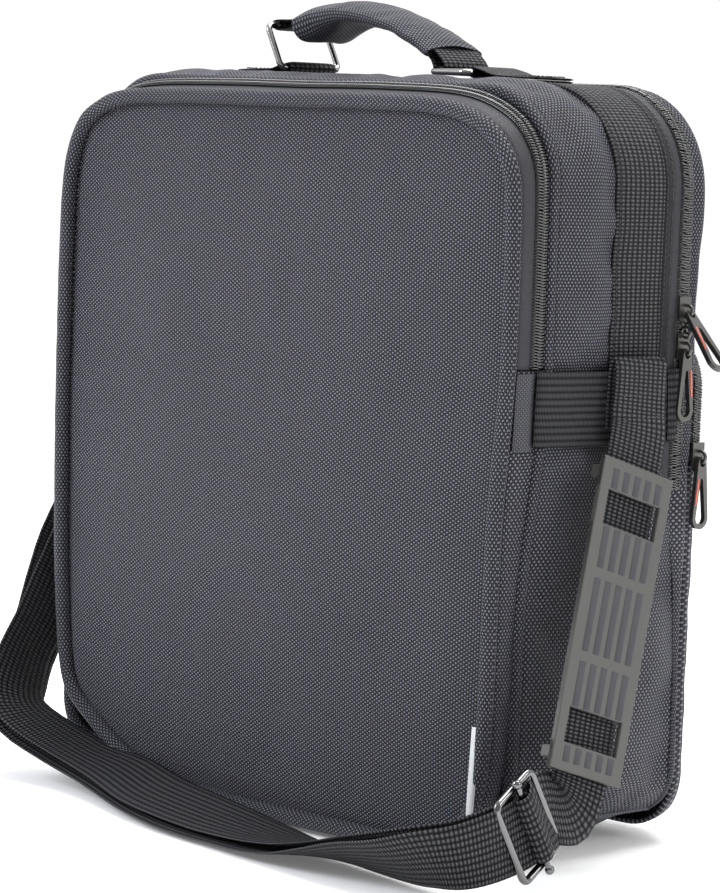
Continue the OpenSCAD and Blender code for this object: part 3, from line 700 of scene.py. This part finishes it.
def coil_half(name, path, y_mid, side, body, nodes, raised=0.0, width=4.4, pitch=1.5, phase=0.0):
    """One half of a zip's chain: a row of coil loops whose heads pass the middle."""
    fine = []
    for a, b in zip(path, path[1:]):
        fine += [tuple(mix(p, q, k / 6) for p, q in zip(a, b)) for k in range(6)]
    fine.append(path[-1])
    sums = [0.0]
    for a, b in zip(fine, fine[1:]):
        sums.append(sums[-1] + math.dist(a[:2], b[:2]))
    soup = Soup()
    k, s = 0, 0.6 + phase * pitch
    while s < sums[-1] - 0.6:
        while sums[k + 1] < s:
            k += 1
        x, z, nx, nz = fine[k]
        out, along = Vector((nx, 0, nz)), Vector((-nz, 0, nx))
        base = Vector((x, y_mid, z)) + out * raised
        across = Vector((0, side, 0))
        loop = [(-0.75, 0.1, 0.1), (-0.45, 0.85, 0.0), (0.6, 1.15, 0.02), (2.4, 1.2, 0.2), (width - 1, 1.0, 0.42),
                (width, 0.1, 0.5)]
        line = [base + across * a + out * b + along * (c * pitch * 0.5) for a, b, c in loop]
        soup.tube(line, [0.4, 0.6, 0.56, 0.5, 0.48, 0.4], out, sides=6)
        s += pitch
    rows = swept(path, [(y_mid, raised - 0.5), (y_mid, raised + 0.05), (y_mid + side * width, raised + 0.05),
                        (y_mid + side * width, raised - 0.5)])
    soup.grid(rows, close_j=True)
    for end in (0, -1):
        soup.fill([row[end] for row in rows])
    obj = soup.build(name, COIL, weld=0.001)
    dress(obj, "zip_coil", *nodes, body=body)
    return obj


coil_half("front_coil_flap", lifted(high_edge, -74.8), -72.5, -1, "front_flap", ["front_chain_flap"], 0.5)
coil_half("front_coil_body", lifted(high_edge, -70.2), -72.4, 1, "bag", ["front_chain_body"], 0.5, phase=0.5)

# Fabric tabs that the zip's ends tuck under
for side, name in ((1, "zip_tab_right"), (-1, "zip_tab_left")):
    soup = Soup()
    rows = []
    for z in range(212, 254, 3):
        rows.append([(side * (HW - 1.1 + 1.5 * (1 - t * t) + 0.25 * rough(t, 3, z, 11)),
                      -79.6 + lean(side * HW, z) * 0.5 + 7.4 * t, float(z))
                     for t in (-1, -0.75, -0.4, 0, 0.4, 0.75, 1)])
    soup.grid(rows)
    tab = soup.build(name + "_skin", UNDER, flip=(side, 0, 0))
    thicken(tab, 1.1)
    dress(tab, "trim_fabric", name)

# Blank woven label in the front seam
soup = Soup()
soup.grid([[(HW - 6.2 + w * mix(3.4, 5.6, t) - 3.6 + 0.6 * t,
             -94.6 + lean(170, 20) - 0.8 * math.sin(1.5 + 2 * t) + 1.2 * w, 27 + 47 * t)
            for w in (0, 0.5, 1)] for t in [k / 10 for k in range(11)]])
label = soup.build("label_skin", LABEL, flip=(0, -1, 0))
thicken(label, 0.4, 0)
dress(label, "label", "seam_label")

# ------------------------------------------------------------------ main body


def seam_y(z):
    """Depth of the seam between the main and rear gussets, under the zip's lower end."""
    return curve_at([(14, 42), (77, 41), (130, 38), (183, 29.5), (400, 29.5)], z)


def curve_at(rows, z):
    for (a, p), (b, q) in zip(rows, rows[1:]):
        if z <= b:
            return mix(p, q, ease(a, b, z))
    return rows[-1][1]


def skin_edge(z):
    return seam_y(z) + 1.5 if z < SIDE_Z + 4 else mix(30.5, 24.5, ease(192, 200, z))


soup = Soup()
ring = spaced(MAIN, 6)
count = 17
rows = []
for j in range(count + 1):
    row = []
    for x, z, nx, nz in ring:
        y = mix(-62.5 + gather(z), skin_edge(z), j / count)
        front = ease(-62, -40, y) * ease(-22, -36, y)
        low = ease(232, 170, z) * ease(-66 + gather(z), -35, y) * ease(40, 15, y) * ease(20, 60, z)
        folds = abs(math.sin((z + 0.8 * y) * 0.043 + 1.1 * rough(x, y, z, 70, 8))) ** 2
        out = 2.4 * front * ease(250, 275, z) + low * (1.2 + 2.6 * folds) + 0.35 * rough(x, y, z, 30, 4)
        out -= 0.6 + 3.0 * ease(220, 236, z) * ease(262, 246, z) * 0.5
        row.append((x + nx * out, y, z + nz * out))
    rows.append(row)
soup.grid(rows, close_i=True)
skin = soup.build("main_skin", BALLISTIC, flip=(0, 0, 0))
work = bmesh.new()
work.from_mesh(skin.data)
work.faces.ensure_lookup_table()
probe = work.faces[len(work.faces) // 2]
middle = probe.calc_center_median() - Vector((0, 0, 0.2))
if probe.normal.dot(Vector((middle.x, 0, middle.z))) < 0:
    bmesh.ops.reverse_faces(work, faces=work.faces)
work.to_mesh(skin.data)
work.free()


def skin_held(x, y, z):
    if y < -61 + gather(z) or y > skin_edge(z) - 1 or z < 24:
        return True
    return (z > 206 and y > -21) or 212 < z < 254


cloth(skin, skin_held, 1.6, 2.8, extra=0.018)
thicken(skin, 2.3)
dress(skin, "ballistic_fabric", "main_gusset", fill=0.35)

# Rolled edge between the front pocket and the main body
soup = Soup()
roll = offset(MAIN, 3.4, 2.5)
rows = []
for t in turns:
    row = []
    for x, z, nx, nz in roll:
        r = 3.75 + 0.22 * rough(x, 9 * t, z, 10, 6)
        row.append((x + nx * r * math.cos(t), -64.0 + gather(z) + r * math.sin(t), z + nz * r * math.cos(t)))
    rows.append(row)
soup.grid(rows, close_i=True, close_j=True)
dress(soup.build("main_roll", BALLISTIC), "ballistic_fabric", "main_piping", fill=1.0)

# Wall behind the front pocket, and the web that holds the pocket's rear tape
wall = dish("pocket_lining", [(x, z) for x, z, _, _ in offset(MAIN, 3.0, 3)], 14,
            lambda x, z: -61.4 + gather(z) * 0.3 + 0.8 * rough(x, 0, z, 60, 7), [], LINING, (0, -1, 0))
thicken(wall, 5.6)
dress(wall, "ballistic_fabric", "dividing_wall", "dividing_foam", fill=0.4)
web = band("pocket_web", offset(FRONT, 2, 4), [(-69.4, -1), (-68.4, -2.2), (-67.6, -6), (-64, -7), (-60.6, -7.6)],
           1.6, LINING)
dress(web, "dark_fabric", "front_web", fill=0.2)

# Webbing over the top and down both sides; its front edge isn't quite straight
strap_path = above(spaced(MAIN, 4), 217)


def wavy(x, y, z):
    return (1.1 * rough(x, 0, z, 22, 9) if y < -10 else 0.3 * rough(x, 0, z, 30, 2)), 0.25 * rough(x, y, z, 25, 3)


top = band("top_band_skin", strap_path, [(-21.6, 0.2), (-21, 1.5), (-12, 1.75), (-3, 1.8), (7, 1.75), (15.4, 1.5),
                                         (16, 0.2)],
           1.7, WEBBING, False, wavy)
dress(top, "webbing", "top_band")
bind_path = above(spaced(MAIN, 4), FRONT_Z)
bind = band("binding_skin", bind_path, [(16.2, 0.3), (16.6, 1.2), (20, 1.45), (23, 1.1), (23.4, 0.2)], 1.4, TWILL,
            False)
dress(bind, "trim_fabric", "binding_strip")
soup = Soup()
outline_stitches(soup, bind_path, 17.6, 1.42)
outline_stitches(soup, bind_path, 21.8, 1.36)
outline_stitches(soup, strap_path, -19.0, 1.72, wavy)
dress(soup.build("band_stitches", THREAD, weld=0.001), "trim_fabric")

# Cross bands: ribbed webbing from the front seam to the zip, with a frayed rear end
for side, name in ((1, "cross_band_right"), (-1, "cross_band_left")):
    soup = Soup()
    path, across = [], []
    for k in range(30):
        t = k / 29
        y = mix(-75.5, 29.6, t)
        x = HW + 2.3 + 1.0 * math.sin(math.pi * t) + 0.5 * rough(y, 0, side, 14, 4) - 1.6 * ease(0.06, 0, t)
        x += 1.4 * ease(-25, -20, y) * ease(18, 13, y)
        path.append((side * x, y, 233.0 - 0.6 * math.sin(3 * t)))
        across.append((0, 0.0, 1))
    soup.strip(path, across, 38, 1.5)
    folded = [(side * (HW + 3.4), 22.0, 233.0), (side * (HW + 4.2), 26, 233.2), (side * (HW + 4.3), 28.4, 233.4),
              (side * (HW + 3.6), 30.0, 233.4)]
    soup.strip(curve(folded, 4), (0, 0, 1), 37, 1.2)
    obj = soup.build(name + "_skin", CROSSBAND)
    dress(obj, "webbing", name)
soup = Soup()
for k in range(34):
    z = 215.5 + k * 1.08
    a = Vector((HW + 3.9, 29.4, z))
    b = a + Vector((0.5 + 0.8 * rough(k, 1, 1, 1.7), 1.3 + 0.7 * rough(k, 2, 5, 1.3), 0.9 * rough(k, 7, 3, 1.9)))
    soup.tube([a - Vector((0, 1.5, 0)), a, b], [0.3, 0.28, 0.14], (0, 0, 1), sides=5)
for side in (1, -1):
    line = [(side * (HW + 4.6 + 0.3 * math.sin(0.3 * y)), 19.0, 216.0 + y) for y in range(0, 36, 3)]
    stitches(soup, line, [(side, 0, 0)] * len(line))
dress(soup.build("band_threads", THREAD, weld=0.001), "trim_fabric")

# ------------------------------------------------------------------- main zip

zip_path = above(spaced(MAIN, 4), SIDE_Z + 0.5)
lid_path = above(spaced(MAIN, 4), LID_Z)
front_zip = band("main_tape_front", zip_path, [(23.1, 0.1), (23.6, 0.6), (27, 0.75), (29.4, 0.6), (33.4, 0.2)], 1.0,
                 TAPE, False)
dress(front_zip, "zip_tape")


def side_parts(path, z):
    """The two stretches of an open path that lie under a height."""
    right = [p for p in path if p[0] > 0 and p[1] < z]
    left = [p for p in path if p[0] < 0 and p[1] < z]
    return right, left


coil_half("main_coil_front", zip_path, Y_ZIP - 0.05, -1, "bag", ["main_chain_front"], 0.9)
low_zip = [p for p in side_parts(zip_path, LID_Z - 0.5)]
lower_soup_nodes = ["main_chain_rear_lower"]
for part, label_name in zip(low_zip, ("right", "left")):
    nodes = lower_soup_nodes if label_name == "right" else []
    coil_half("main_coil_rear_" + label_name, part, Y_ZIP + 0.05, 1, "bag", nodes, 0.9, phase=0.5)
coil_half("main_coil_lid", lid_path, Y_ZIP + 0.05, 1, "lid", ["main_chain_lid"], 0.9, phase=0.5)

# ----------------------------------------------------------------- rear shell

LID_BEND = ("bag", "lid", (0, 47, 270.5), (0, 47, 278))


def rear_depth(x, z):
    edge = min(HW - 4 - abs(x), 391 - z)
    return 46.8 + 0.9 * ease(0, 60, edge) + 0.6 * rough(x, 0, z, 70, 11)


rear = dish("rear_shell", [(x, z) for x, z, _, _ in offset(MAIN, 4.0, 3)], 9, rear_depth,
            [(lambda x, z: 46.8 + 0.5 * rough(x, 0, z, 40) + 2.0 * ease(290, 340, z), 3.4),
             (lambda x, z: 44.2 + 1.5 * ease(290, 340, z) - 2.4 * ease(300, 279, z) * ease(258, 279, z), 5.6),
             (lambda x, z: mix(seam_y(z) + 0.5, 41.4, ease(184, 200, z)), 4.3),
             (lambda x, z: mix(seam_y(z), 38.3, ease(184, 200, z)), 4.2)], BALLISTIC, (0, 1, 0))
cloth(rear, lambda x, y, z: y < 44.9 or 270 < z < 279, 1.4, 2.2, extra=0.006)
thicken(rear, 4.6)
dress(rear, "ballistic_fabric", "rear_wall", "lid_panel", "lid_foam", blend=LID_BEND, fill=0.4)

# ---------------------------------------------------------------- back pocket

FLAP_BEND = ("bag", "pocket_flap", (0, 84, 200.5), (0, 84, 207.5))


def pocket_y(x, z):
    side = ease(0, 44, HW - 4 - abs(x)) ** 0.7
    low = ease(-4, 34, z - 4) ** 0.7
    high = ease(0, 44, 268 - z) ** 0.7
    return 56.2 + 25.6 * min(side * low, 1) * high + 1.2 * rough(x, 0, z, 60, 13)


pocket = dish("pocket_bag", [(x, z) for x, z, _, _ in offset(POCKET, 3.2, 3)], 8, pocket_y,
              [(lambda x, z: 55.2, 2.2), (lambda x, z: mix(48.2, 54.6, ease(200, 206, z)), 3.2)], BALLISTIC,
              (0, 1, 0))
cloth(pocket, lambda x, y, z: y < 55.9 or 200 < z < 208, 2.0, 2.2, extra=0.012)
thicken(pocket, 2.3)
dress(pocket, "ballistic_fabric", "back_pocket", "back_flap", blend=FLAP_BEND, fill=0.5)
pocket_zip = above(spaced(POCKET, 4), FLAP_Z + 0.2)
pocket_tape = band("pocket_tape", pocket_zip, [(47.7, -0.6), (48.5, 0.1), (50.5, 0.1)], 1.2, TAPE, False)
dress(pocket_tape, "zip_tape")
coil_half("pocket_coil_body", pocket_zip, Y_POCKET - 0.05, -1, "bag", ["back_chain_body"], 0.4, width=3.2)
coil_half("pocket_coil_flap", pocket_zip, Y_POCKET + 0.05, 1, "pocket_flap", ["back_chain_flap"], 0.4, width=4.4,
          phase=0.5)

# --------------------------------------------------------------------- bottom

soup = Soup()
rows = []
for j in range(15):
    y = mix(-71, 46.5, j / 14)
    row = []
    for i in range(45):
        x = mix(-HW + 14, HW - 14, i / 44)
        end = ease(0, 34, HW - 14 - abs(x))
        side = ease(0, 22, min(y + 71, 46.5 - y))
        lift = 15.5 * (1 - end * side)
        row.append((x, y, 0.4 + lift + 0.5 * rough(x, y, 0, 30, 2) * (1 if lift > 1 else 0)))
    rows.append(row)
soup.grid(rows, uv=lambda p: (p[0], p[1]))
base = soup.build("bottom_skin", UNDER, flip=(0, 0, -1))
thicken(base, 2.4)
dress(base, "dark_fabric", "bottom_panel", fill=0.3)

# --------------------------------------------------------------------- handle

for side, name in ((-1, "left"), (1, "right")):
    soup = Soup()
    arc = [(RING_X * side + 2.55 * math.cos(math.radians(a)) * -side, Y_BAND,
            RING_Z + 2.55 * math.sin(math.radians(a)))
           for a in range(-90, 91, 20)]
    out_x = side * (RING_X + 40)
    low = [(out_x, Y_BAND, 397.0), (side * (RING_X + 10), Y_BAND, 397.3)]
    high = [(side * (RING_X + 7), Y_BAND, RING_Z + 1.0), (side * (RING_X + 16), Y_BAND, 399.3),
            (out_x, Y_BAND, 398.5)]
    soup.strip(curve(low + arc + high, 3), (0, 1, 0), 35, 1.4)
    obj = soup.build("handle_anchor_" + name, WEBBING)
    dress(obj, "webbing", *(["handle_anchors"] if side < 0 else []))
    soup = Soup()
    x0, x1 = side * (RING_X + 14), side * (RING_X + 37)
    ring = [(x0, -17), (x1, -17), (x1, 11), (x0, 11), (x0, -17), (x1, 11), (x1, -17), (x0, 11)]
    line = []
    for a, b in zip(ring, ring[1:]):
        line += [(mix(a[0], b[0], k / 8), mix(a[1], b[1], k / 8), 399.75) for k in range(8)]
    stitches(soup, line, [(0, 0, 1)] * len(line), pitch=3.2)
    dress(soup.build("anchor_stitches_" + name, THREAD, weld=0.001), "trim_fabric")

LEFT = (-RING_X - RING_L * math.sin(LEAN), RING_Z + RING_L * math.cos(LEAN))
RIGHT = (RING_X - RING_L, RING_Z)
GRIP = curve([(-66, 425.6), (-54, 429.4), (-39, 431.4), (-24, 431.4), (-8, 429.2), (8, 425.4), (22, 420.2),
              (34, 414.6),
              (41, 411.4)], 5)
soup = Soup()
n = len(GRIP)
rows = []
for k, (x, z) in enumerate(GRIP):
    a, b = GRIP[max(k - 1, 0)], GRIP[min(k + 1, n - 1)]
    size = math.dist(a, b)
    tx, tz = (b[0] - a[0]) / size, (b[1] - a[1]) / size
    t = k / (n - 1)
    ends = min(t, 1 - t)
    thick = 5.8 - 1.4 * ease(0.3, 0.7, t) - 0.8 * ease(0.1, 0, ends)
    wide = 20.5 + 1.4 * ease(0.16, 0, ends)
    droop = 6.5 * ease(0.36, 0.06, t)
    row = []
    for q in range(28):
        turn = 2 * math.pi * q / 28
        c, s = math.cos(turn), math.sin(turn)
        p = math.copysign(abs(c) ** 0.8, c) * wide
        h = math.copysign(abs(s) ** 0.75, s) * thick - 0.06 * abs(p) * 1.2
        h += 0.35 * rough(x, p, 0, 12, 4) - droop * ease(0.2, -0.9, s)
        row.append((x - tz * h, Y_BAND + p, z + tx * h))
    rows.append(row)
soup.grid(rows, close_i=True)
for ring_row, step in ((rows[0], 1), (rows[-1], -1)):
    mid = [sum(p[q] for p in ring_row) / len(ring_row) for q in range(3)]
    inner = [tuple(mix(p[q], mid[q], 0.16) for q in range(3)) for p in ring_row]
    deep = [(p[0] + step * 5, p[1], p[2] + (1.5 if step > 0 else 3)) for p in inner]
    soup.grid([ring_row, inner, deep], close_i=True)
    soup.fill(deep)
grip = soup.build("grip_skin", BALLISTIC)
cloth(grip, lambda x, y, z: x < -63 or x > 38 or abs(abs(y - Y_BAND) - 20.5) < 0.6, 2.2, 1.5, extra=0.012)
modifier = grip.modifiers.new("smooth", "SUBSURF")
modifier.levels = modifier.render_levels = 1
bake(grip)
dress(grip, "trim_fabric", "grip_sleeve", body="grip", fill=0.7)
soup = Soup()
around = [(LEFT[0] + 2.5 * math.cos(math.radians(a)), Y_BAND, LEFT[1] + 2.5 * math.sin(math.radians(a)))
          for a in range(-60, 241, 30)]
soup.strip(curve([(-58, Y_BAND, 426.2), (-70, Y_BAND, 422.6)] + around[0:7] + [(-82, Y_BAND, 426.5),
                                                                               (-72, Y_BAND, 426.6),
                                                                               (-58, Y_BAND, 428.6)], 3),
           (0, 1, 0), 34, 1.2)
over = [(RIGHT[0] + 2.5 * math.cos(math.radians(a)), Y_BAND, RIGHT[1] + 2.5 * math.sin(math.radians(a)))
        for a in range(240, -61, -30)]
soup.strip(curve([(34, Y_BAND, 411.0), (40, Y_BAND, 406.5)] + over[1:9] + [(49.5, Y_BAND, 404.5),
                                                                           (42, Y_BAND, 411.5),
                                                                           (35, Y_BAND, 414.5)], 3),
           (0, 1, 0), 34, 1.2)
dress(soup.build("handle_webbing_skin", WEBBING), "webbing", "handle_webbing", body="grip")

# ------------------------------------------------------------- shoulder strap

Y_LOOP = Y_BAND - 4
PAD_TOP = Vector((HW + 16.2, Y_LOOP - 9.6, 203))
PAD_DIR = Vector((18, -51.3, -154)).normalized()


def aimed(at, along, face):
    """A frame at a point: its Z along one direction, its X near another."""
    x = (face - along * face.dot(along)).normalized()
    y = along.cross(x)
    return Matrix(((x[0], y[0], along[0], at[0]), (x[1], y[1], along[1], at[1]), (x[2], y[2], along[2], at[2]),
                   (0, 0, 0, 1)))


pad_frame = aimed(PAD_TOP, PAD_DIR, Vector((1, -0.1, 0)))
LONG, WIDE, STAND = 160.0, 50.0, 1.95
ADJUST_DIR = Vector((0.117, -0.858, -0.5)).normalized()
ADJUST = aimed(Vector((HW + 43, YF - 24.5, 33.5)), ADJUST_DIR, Vector((0.99, 0.1, 0.06)))


def webbing_strip(soup, rows, width=38, steps=6, wave=0.8):
    line = curve(rows, steps)
    soup.strip([p[:3] for p in line], [p[3:] for p in line], width, 1.5, wave=wave)


down = (0, -1, 0)
single = [(HW + 4.9, Y_LOOP, 222, *down), (HW + 5.0, Y_LOOP, 238, *down), (HW + 5.4, Y_LOOP, 250, *down),
          (HW + 6.6, Y_LOOP, 256.4, *down), (HW + 9.2, Y_LOOP, 257.6, *down),
          (HW + 11.0, Y_LOOP - 0.5, 253.5, *down),
          (HW + 11.6, Y_LOOP - 1.2, 244, 0, -1, 0.06), (HW + 12.6, Y_LOOP - 2.6, 231, -0.04, -0.98, 0.15)]
single += [(*(PAD_TOP + PAD_DIR * (LONG * share)), *pad_frame.col[1][:3]) for share in (-0.09, 0.2, 0.49, 0.78,
                                                                                        1.07)]
single += [(HW + 38.5, YF - 5, 40, -0.03, -0.74, 0.67)]


def on_adjuster(x, z):
    p = ADJUST @ Vector((x, 0, z))
    w = ADJUST.to_3x3() @ Vector((0, 1, 0))
    return (*p, *w)


single += [on_adjuster(*p) for p in ((3.4, -9), (6.4, -3.4), (7.3, 0.4), (5.2, 3.6), (1.6, 3.4), (0.4, -2),
                                     (-0.6, -12))]
soup = Soup()
webbing_strip(soup, single)
obj = soup.build("strap_single_skin", WEBBING)
dress(obj, "webbing", "strap_single", "strap_anchor_right")
soup = Soup()
for z, x in ((228, 12.4), (240, 11.0)):
    line = [(HW + x + 1.35, Y_LOOP + y, z + 0.05 * y) for y in range(-16, 17, 2)]
    stitches(soup, line, [(1, 0, 0.1)] * len(line))
dress(soup.build("anchor_threads", THREAD, weld=0.001), "trim_fabric")

outer = [
    (HW + 44.0, YF - 20, 34, 0.03, -0.48, 0.87), (HW + 43.8, YF - 29, 30.5, 0.03, -0.48, 0.87),
    (HW + 43.5, YF - 47, 26, 0.1, -0.36, 0.93),
    (HW + 36, YF - 63, 21.5, 0.06, -0.5, 0.87), (HW + 22, YF - 72, 18.5, -0.05, -0.62, 0.78),
    (HW + 3, YF - 74, 14.5, -0.11, -0.74, 0.66), (HW - 26, YF - 72, 11, -0.14, -0.86, 0.5),
    (HW - 52, YF - 69, 7.5, -0.13, -0.95, 0.28), (90, YF - 65, 3.4, -0.11, -0.99, 0.05),
    (46, YF - 60, 2, -0.12, -0.98, 0), (4, YF - 55, 2, -0.16, -0.97, 0), (-38, YF - 44.5, 3.6, -0.2, -0.97, 0),
    (-87, YF - 29, 7.5, -0.25, -0.96, 0), (-HW + 48, YF - 24, 15, -0.24, -0.96, -0.04),
    (-HW + 6, YF - 29, 31, 0.1, -0.98, -0.08), (-HW - 10.5, YF - 12, 53, 0.12, -0.98, -0.08),
    (-HW - 17, YF + 6, 82, 0, -0.98, 0.1), (-HW - 23, YF + 25, 124, 0, -0.95, 0.3),
    (-HW - 17, YF + 50, 174, 0, -0.93, 0.35), (-HW - 11.7, YF + 73, 214, 0, -0.98, 0.15)]
turn_over = [(-HW - 11.4, YF + 75, 218.5, 0, -1, 0.05), (-HW - 8.4, YF + 75.5, 221, 0, -1, 0),
             (-HW - 5.4, YF + 75, 218.5, 0, -1, 0.05)]
inner = [
    (HW + 40.5, YF - 22, 34, 0.03, -0.48, 0.87), (HW + 40.5, YF - 30, 31.5, 0.03, -0.48, 0.87),
    (HW + 39.5, YF - 46, 27.5, 0.1, -0.36, 0.93),
    (HW + 32.5, YF - 59, 23.5, 0.06, -0.5, 0.87), (HW + 20, YF - 67, 21, -0.05, -0.62, 0.78),
    (HW + 1, YF - 69, 18, -0.11, -0.74, 0.66), (HW - 26, YF - 67.5, 13.5, -0.14, -0.86, 0.5),
    (HW - 52, YF - 65, 10.5, -0.13, -0.95, 0.28), (90, YF - 61, 8, -0.11, -0.99, 0.05),
    (46, YF - 56, 8.5, -0.12, -0.97, -0.15), (4, YF - 50, 10, -0.16, -0.95, -0.24),
    (-38, YF - 42, 12, -0.2, -0.94, -0.26),
    (-85, YF - 26, 15, -0.25, -0.94, -0.2), (-HW + 50, YF - 23, 20.5, -0.2, -0.97, -0.04),
    (-HW + 8, YF - 29, 38, 0.1, -0.98, -0.08), (-HW - 8.5, YF - 14, 61, 0.12, -0.98, -0.08),
    (-HW - 12, YF + 6, 90, 0, -0.98, 0.1), (-HW - 13, YF + 27, 128, 0, -0.95, 0.3),
    (-HW - 10, YF + 52, 177, 0, -0.93, 0.35), (-HW - 5.1, YF + 74, 214, 0, -0.98, 0.15)]
soup = Soup()
webbing_strip(soup, outer + turn_over + inner[::-1], steps=5)
dress(soup.build("strap_loop_skin", WEBBING), "webbing", "strap_outer", "strap_inner")

RING_LOW = (-HW - 7.15, 230.0)
soup = Soup()
hang = [(RING_LOW[0] + 2.6 * math.cos(math.radians(a)), Y_LOOP,
         RING_LOW[1] + 2.6 * math.sin(math.radians(a))) for a in range(90, 331, 24)]
soup.strip(curve([(-HW - 3.9, Y_LOOP, 250), (-HW - 4.3, Y_LOOP, 240)] + hang + [(-HW - 5.2, Y_LOOP, 236),
                                                                                (-HW - 5.0, Y_LOOP, 250)], 3),
           (0, 1, 0), 35, 1.3)
dress(soup.build("strap_anchor_left_skin", WEBBING), "webbing", "strap_anchor_left")

# Rubber shoulder pad: a rim, two windows, and groups of five ribs with grooves between them
soup, groove = Soup(), Soup()
for a, b in ((0.0, 0.1), (0.212, 0.8), (0.912, 1.0)):
    soup.block((STAND + 1.6, 0, LONG * (a + b) / 2), (3.2, WIDE, LONG * (b - a)), pad_frame, 0.4)
for side in (-1, 1):
    soup.block((STAND + 1.6, side * (WIDE / 2 - 3.3), LONG / 2), (3.24, 6.6, LONG), pad_frame, 0.5)
for a, b in ((0.03, 0.096), (0.218, 0.352), (0.385, 0.62), (0.652, 0.796), (0.92, 0.972)):
    for k in range(5):
        groove.block((STAND + 3.2, (k - 2) * 7.7, LONG * (a + b) / 2), (0.34, 4.5, LONG * (b - a)), pad_frame, 0.12)
for z in (0.03 * LONG, 0.93 * LONG):
    soup.block((-STAND - 0.9, 0, z + 3), (1.8, WIDE, 6), pad_frame, 0.5)
    for side in (-1, 1):
        soup.block((0, side * (WIDE / 2 - 1.3), z + 3), (2 * STAND + 1.9, 2.6, 6), pad_frame, 0.5)
pad = soup.build("pad_skin", RUBBER, weld=0.001)
for polygon in pad.data.polygons:
    polygon.use_smooth = False
dress(pad, "rubber", "shoulder_pad", body="pad")
dress(groove.build("pad_grooves", GROOVE, weld=0.001), "rubber", body="pad")

# --------------------------------------------------------- inlays on the pulls


def inlay(name, at, side, swing, body):
    """A strip of salmon enamel on one leg of a pull."""
    turn = Matrix.Translation(Vector(at)) @ Matrix.Rotation(math.radians(swing), 4, "Y")
    soup = Soup()
    for face in (1.32, -1.32):
        line = [turn @ Vector((face, side * w, z)) for w, z in ((2.7, -11.0), (3.5, -18.0), (4.3, -25.0))]
        soup.tube(line, [0.55, 0.62, 0.55], (1, 0, 0), sides=6)
    obj = soup.build(name, SALMON, weld=0.001)
    dress(obj, "zip_metal", body=body)


inlay("inlay_upper", (181.4, Y_ZIP, 281.5), -1, -40, "pull_main_upper")
inlay("inlay_lower", (181.4, Y_ZIP, 262.0), 1, 0, "pull_main_lower")
inlay("inlay_back", (180.5, Y_POCKET, 205.0), -1, 0, "pull_back")
inlay("inlay_front", (-179.4, -72.7, 265.5), 1, 15, "pull_front")

# ------------------------------------------------- finishes of the CAD's metal

FINISH = {"front_slider": ZIP_METAL, "front_pull": ZIP_METAL, "main_slider_upper": ZIP_METAL,
          "main_pull_upper": ZIP_METAL,
          "main_slider_lower": ZIP_METAL, "main_pull_lower": ZIP_METAL, "back_slider": ZIP_METAL,
          "back_pull": ZIP_METAL,
          "ring_left": WIRE, "ring_right": WIRE, "strap_ring": WIRE, "adjuster_frame": GUN_WIRE,
          "adjuster_bar": GUN_WIRE,
          "bottom_board": FOAM}
for name, material in FINISH.items():
    data = frame["nodes"][name].data
    data.materials.clear()
    data.materials.append(material)

# ---------------------------------------------------------- floor, light, view

scene = bpy.context.scene
floor_mesh = bpy.data.meshes.new("floor")
floor_mesh.from_pydata([(-6, -6, -0.001), (6, -6, -0.001), (6, 6, -0.001), (-6, 6, -0.001)], [], [(0, 1, 2, 3)])
floor = bpy.data.objects.new("floor", floor_mesh)
scene.collection.objects.link(floor)
floor_mesh.materials.append(solid("floor white", (0.94, 0.94, 0.94), roughness=0.9, specular_ior_level=0.0,
                                  emission_color=(1.0, 1.0, 1.0), emission_strength=0.12))

world = bpy.data.worlds.new("studio")
scene.world = world
world.use_nodes = True
tree = world.node_tree
coords = tree.nodes.new("ShaderNodeTexCoord")
facing = tree.nodes.new("ShaderNodeVectorMath")
facing.operation = "DOT_PRODUCT"
facing.inputs[1].default_value = (-0.66, 0.66, 0.36)
tree.links.new(coords.outputs["Generated"], facing.inputs[0])
spread = tree.nodes.new("ShaderNodeMapRange")
spread.interpolation_type = "SMOOTHSTEP"
for socket, value in zip(spread.inputs[1:5], (-0.5, 0.15, 0.5, 1.06)):
    socket.default_value = value
tree.links.new(facing.outputs["Value"], spread.inputs[0])
tree.links.new(spread.outputs[0], tree.nodes["Background"].inputs[1])
tree.nodes["Background"].inputs[0].default_value = (1, 1, 1, 1)


def softbox(name, at, target, size, power, colour=(1, 1, 1)):
    light = bpy.data.lights.new(name, "AREA")
    light.shape = "RECTANGLE"
    light.size, light.size_y = size
    light.energy = power
    light.color = colour
    obj = bpy.data.objects.new(name, light)
    scene.collection.objects.link(obj)
    obj.location = at
    obj.rotation_euler = (Vector(target) - Vector(at)).to_track_quat("-Z", "Y").to_euler()


softbox("key", (-1.1, -1.9, 1.5), (0, 0, 0.28), (1.0, 1.0), 44, (0.9, 0.93, 1.0))
softbox("top", (0.0, 0.5, 1.9), (0, 0, 0.3), (1.4, 1.2), 46)
softbox("side", (2.1, 0.9, 1.2), (0.15, 0, 0.25), (0.7, 1.0), 14)

AZ, EL, ROLL = math.radians(45.68), math.radians(5.19), math.radians(2.27)
back = Vector((math.sin(AZ) * math.cos(EL), -math.cos(AZ) * math.cos(EL), math.sin(EL)))
right = (-back).cross(Vector((0, 0, 1))).normalized()
up = right.cross(-back)
right, up = right * math.cos(ROLL) + up * math.sin(ROLL), up * math.cos(ROLL) - right * math.sin(ROLL)
camera_data = bpy.data.cameras.new("camera")
camera_data.lens = 147.28
camera_data.sensor_fit = "AUTO"
camera_data.sensor_width = 36
camera_data.clip_start = 0.05
camera = bpy.data.objects.new("camera", camera_data)
scene.collection.objects.link(camera)
turned = Matrix((right, up, back)).transposed().to_4x4()
camera.matrix_world = Matrix.Translation((1.41559, -1.40467, 0.37618)) @ turned
scene.camera = camera
scene.render.resolution_x, scene.render.resolution_y = 720, 893
scene.view_settings.view_transform = "Standard"
scene.view_settings.look = "None"
scene.view_settings.exposure = 0.0
